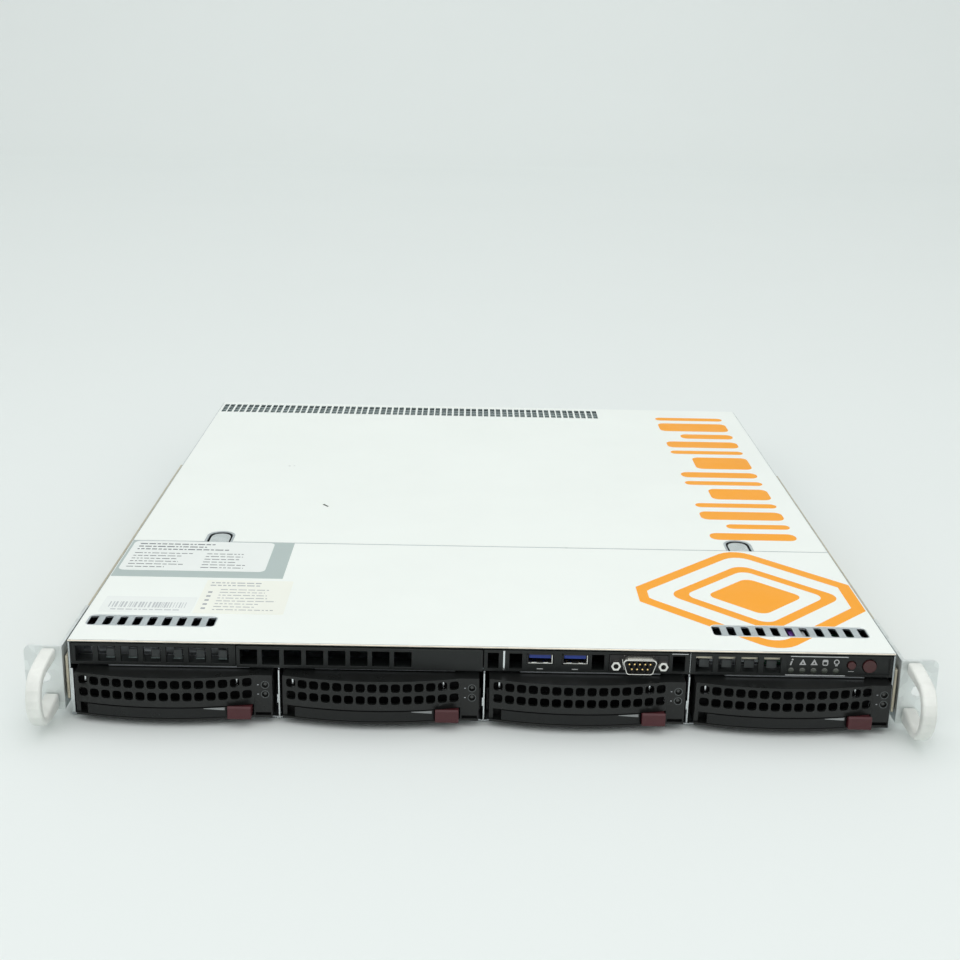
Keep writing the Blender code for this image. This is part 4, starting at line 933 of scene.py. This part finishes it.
def board_details():
    """Chips, capacitors, sockets and the chip-set cooler on the main board."""
    top = BOARD_TOP
    card_slot = block((-178.3, -169.7), (389.7, 480.3), (top, 18.2))
    piece("board_sockets", card_slot, "port_black", "chassis", 0.3)
    skin = [plate(rectangle((x - 3.4, x + 3.4), (293.7, 439.7)), (top, 10.8), "z",
                  [rectangle((x - 0.9, x + 0.9), (299.5, 433.9))]) for x in MEMORY_SOCKETS]
    piece("memory_sockets", gather(skin), "port_black", "chassis", 0.2)
    skins = [block((59.8, 86.2), (261.8, 268.2), (top, 19.2)),
             block((-100.2, -59.8), (261.8, 270.2), (top, 16.2))]
    piece("power_headers", gather(skins), "dim_cream", "chassis", 0.3)
    cell = lathe([(9.4, 11.5), (9.4, 12.6), (8.8, 13.0), (0, 13.0)], (-95.0, 440.0), "z", 28)
    piece("clock_cell", cell, "bright_steel", "chassis")
    fins = [block((-150.3 + 3.12 * k, -149.3 + 3.12 * k), (299.7, 328.3), (8.4, 20.0)) for k in range(10)]
    base = block((-150.3, -121.2), (299.7, 328.3), (top, 14.3))
    piece("chipset_cooler", gather([base, *fins]), "fin_metal", "chassis", 0.15)
    chips = [((-200.0, 350.0), 12.0), ((-112.0, 352.0), 9.0), ((-78.0, 400.0), 7.0), ((-196.0, 300.0), 8.0),
             ((-130.0, 400.0), 10.0), ((-70.0, 330.0), 6.0), ((-152.0, 452.0), 8.0), ((-196.0, 440.0), 7.0)]
    dies = [block((x, x + size), (y, y + size), (top, top + 1.3)) for (x, y), size in chips]
    piece("board_chips", gather(dies), "chip", "chassis", 0.1)
    places = [(-16.0, 300.0 + 9.0 * k) for k in range(5)]
    places += [(-16.0 + 9.0 * k, 428.0) for k in range(8)]
    places += [(-200.0 + 9.0 * k, 276.0) for k in range(5)]
    profile = [(3.1, top), (3.1, top + 7.6), (2.7, top + 8.0), (0, top + 8.0)]
    cans = [lathe(profile, place, "z", 16) for place in places]
    piece("capacitors", gather(cans), "bright_steel", "chassis")
    chosen = random.Random(5)
    small = []
    for _ in range(90):
        x, y = chosen.uniform(-205, -56), chosen.uniform(276, 474)
        clear = all(not (cx - 3 < x < cx + size + 3 and cy - 3 < y < cy + size + 3)
                    for (cx, cy), size in chips)
        if clear and not (-181 < x < -167 and y > 384) and not (-153 < x < -118 and 296 < y < 331):
            small.append(block((x, x + 1.8), (y, y + 0.9), (top, top + 0.7)))
    piece("board_small_parts", gather(small), "dim_cream", "chassis")
    (x0, x1), (y0, _), (_, z1) = node_box("memory_module")
    faces = [block((x0 - 0.9, x1 + 0.9), (y, y + 9.0), (z1 - 13.0, z1 - 3.0)) for y in
             [y0 + 8.0 + 13.6 * k for k in range(9)]]
    piece("memory_chips", gather(faces), "chip", "chassis", 0.1)


def fan_details():
    """A round label on each fan's hub."""
    for i in range(1, 5):
        (x0, x1), (y0, _), (z0, z1) = node_box(f"fan_rotor_{i}")
        hub = plate(circle(((x0 + x1) / 2, (z0 + z1) / 2), 7.0, 28), (y0 - 0.12, y0 - 0.02), "y")
        piece(f"fan_label_{i}", hub, "white_label", f"fan_rotor_{i}")


def ear_screws():
    """Screws through each ear's leg."""
    for name, side in (("left", -1), ("right", 1)):
        face = side * (HALF + 4.8)
        heads = [screw((y, z), 2.4, face, "x", side) for y in (14.0, 42.0) for z in (12.0, 31.5)]
        piece(f"ear_screws_{name}", gather(heads), "bright_steel", "chassis")


# ---------------------------------------------------------------- stage

def stage():
    """A plain floor that curves up behind the appliance into a backdrop."""
    shape = bmesh.new()
    profile = [(-6.0, -0.0004), (3.0, -0.0004)]
    profile += [(3.0 + u, v + 1.4996) for u, v in arc((0.0, 0.0), 1.5, -90, 0, 16)] + [(4.5, 6.0)]
    rows = [[shape.verts.new((x, y, z)) for x in (-30.0, 30.0)] for y, z in profile]
    for low, high in zip(rows, rows[1:]):
        shape.faces.new((low[0], low[1], high[1], high[0]))
    floor = bpy.data.meshes.new("floor")
    shape.to_mesh(floor)
    shape.free()
    floor.shade_smooth()
    ground = Finish("floor", (0.80, 0.845, 0.83), 0.6, Specular_IOR_Level=0.2)
    ground.mottle(2.0, 0.004)
    floor.materials.append(ground.finish())
    item = bpy.data.objects.new("floor", floor)
    bpy.context.scene.collection.objects.link(item)


def world():
    made = bpy.data.worlds.new("studio")
    made.use_nodes = True
    tree = made.node_tree
    background = tree.nodes["Background"]
    coordinates = tree.nodes.new("ShaderNodeTexCoord")
    split = tree.nodes.new("ShaderNodeSeparateXYZ")
    ramp = tree.nodes.new("ShaderNodeValToRGB")
    tree.links.new(coordinates.outputs["Generated"], split.inputs["Vector"])
    tree.links.new(split.outputs["Z"], ramp.inputs["Fac"])
    tree.links.new(ramp.outputs["Color"], background.inputs["Color"])
    stops = ((0.0, (0.66, 0.68, 0.68)), (0.3, (0.92, 0.94, 0.94)), (1.0, (1.0, 1.0, 1.0)))
    elements = ramp.color_ramp.elements
    elements.new(0.5)
    for element, (position, colour) in zip(elements, stops):
        element.position = position
        element.color = (*colour, 1.0)
    background.inputs["Strength"].default_value = 0.72
    bpy.context.scene.world = made


def area_light(name, location, target, size, power, colour=(1, 1, 1)):
    data = bpy.data.lights.new(name, "AREA")
    data.shape = "RECTANGLE"
    data.size, data.size_y = size
    data.energy = power
    data.color = colour
    item = bpy.data.objects.new(name, data)
    item.location = location
    item.rotation_euler = (Vector(target) - Vector(location)).to_track_quat("-Z", "Y").to_euler()
    bpy.context.scene.collection.objects.link(item)


def lights():
    area_light("overhead", (0.1, 0.15, 1.9), (0, 0, 0), (2.2, 2.2), 8.0)
    area_light("front", (0.0, -1.6, 1.5), (0, -0.3, 0), (2.6, 1.2), 8.0)
    area_light("left_front", (-1.6, -1.3, 1.2), (0, -0.1, 0), (1.2, 1.2), 5.0)
    area_light("right_front", (1.5, -1.5, 0.9), (0, -0.1, 0), (1.0, 1.0), 3.0)
    area_light("backdrop", (0.0, 2.6, 3.0), (0.0, 4.0, 0.2), (5.0, 2.0), 26.0)


CAMERA_MM = (-11.579, -698.652, 354.140)
PITCH, YAW, ROLL = 17.4025, -0.6564, -1.2573
LENS = 54.107


def camera():
    """A viewpoint in front, looking down a little and rolled slightly anticlockwise."""
    data = bpy.data.cameras.new("camera")
    data.lens = LENS
    data.sensor_width = 36.0
    data.clip_start = 0.01
    item = bpy.data.objects.new("camera", data)
    turn = (Matrix.Rotation(math.radians(YAW), 3, "Z") @ Matrix.Rotation(math.radians(-PITCH), 3, "X")
            @ Matrix.Rotation(math.radians(ROLL), 3, "Y"))
    axes = Matrix((turn.col[0], turn.col[2], -turn.col[1])).transposed()
    x, y, z = CAMERA_MM
    item.matrix_world = Matrix.Translation((x * MM, (y + FRONT) * MM, z * MM)) @ axes.to_4x4()
    bpy.context.scene.collection.objects.link(item)
    bpy.context.scene.camera = item


def main():
    dress_nodes()
    cover_films()
    front_hem()
    orange_graphics()
    labels()
    behind_windows()
    steel_edges_and_glints()
    side_fold_shadows()
    control_panel()
    front_ports()
    carrier_lights()
    lever_end_highlights()
    rear_details()
    drive_labels()
    board_details()
    fan_details()
    ear_screws()
    stage()
    world()
    lights()
    camera()
    bpy.context.scene.view_settings.view_transform = "Standard"


main()
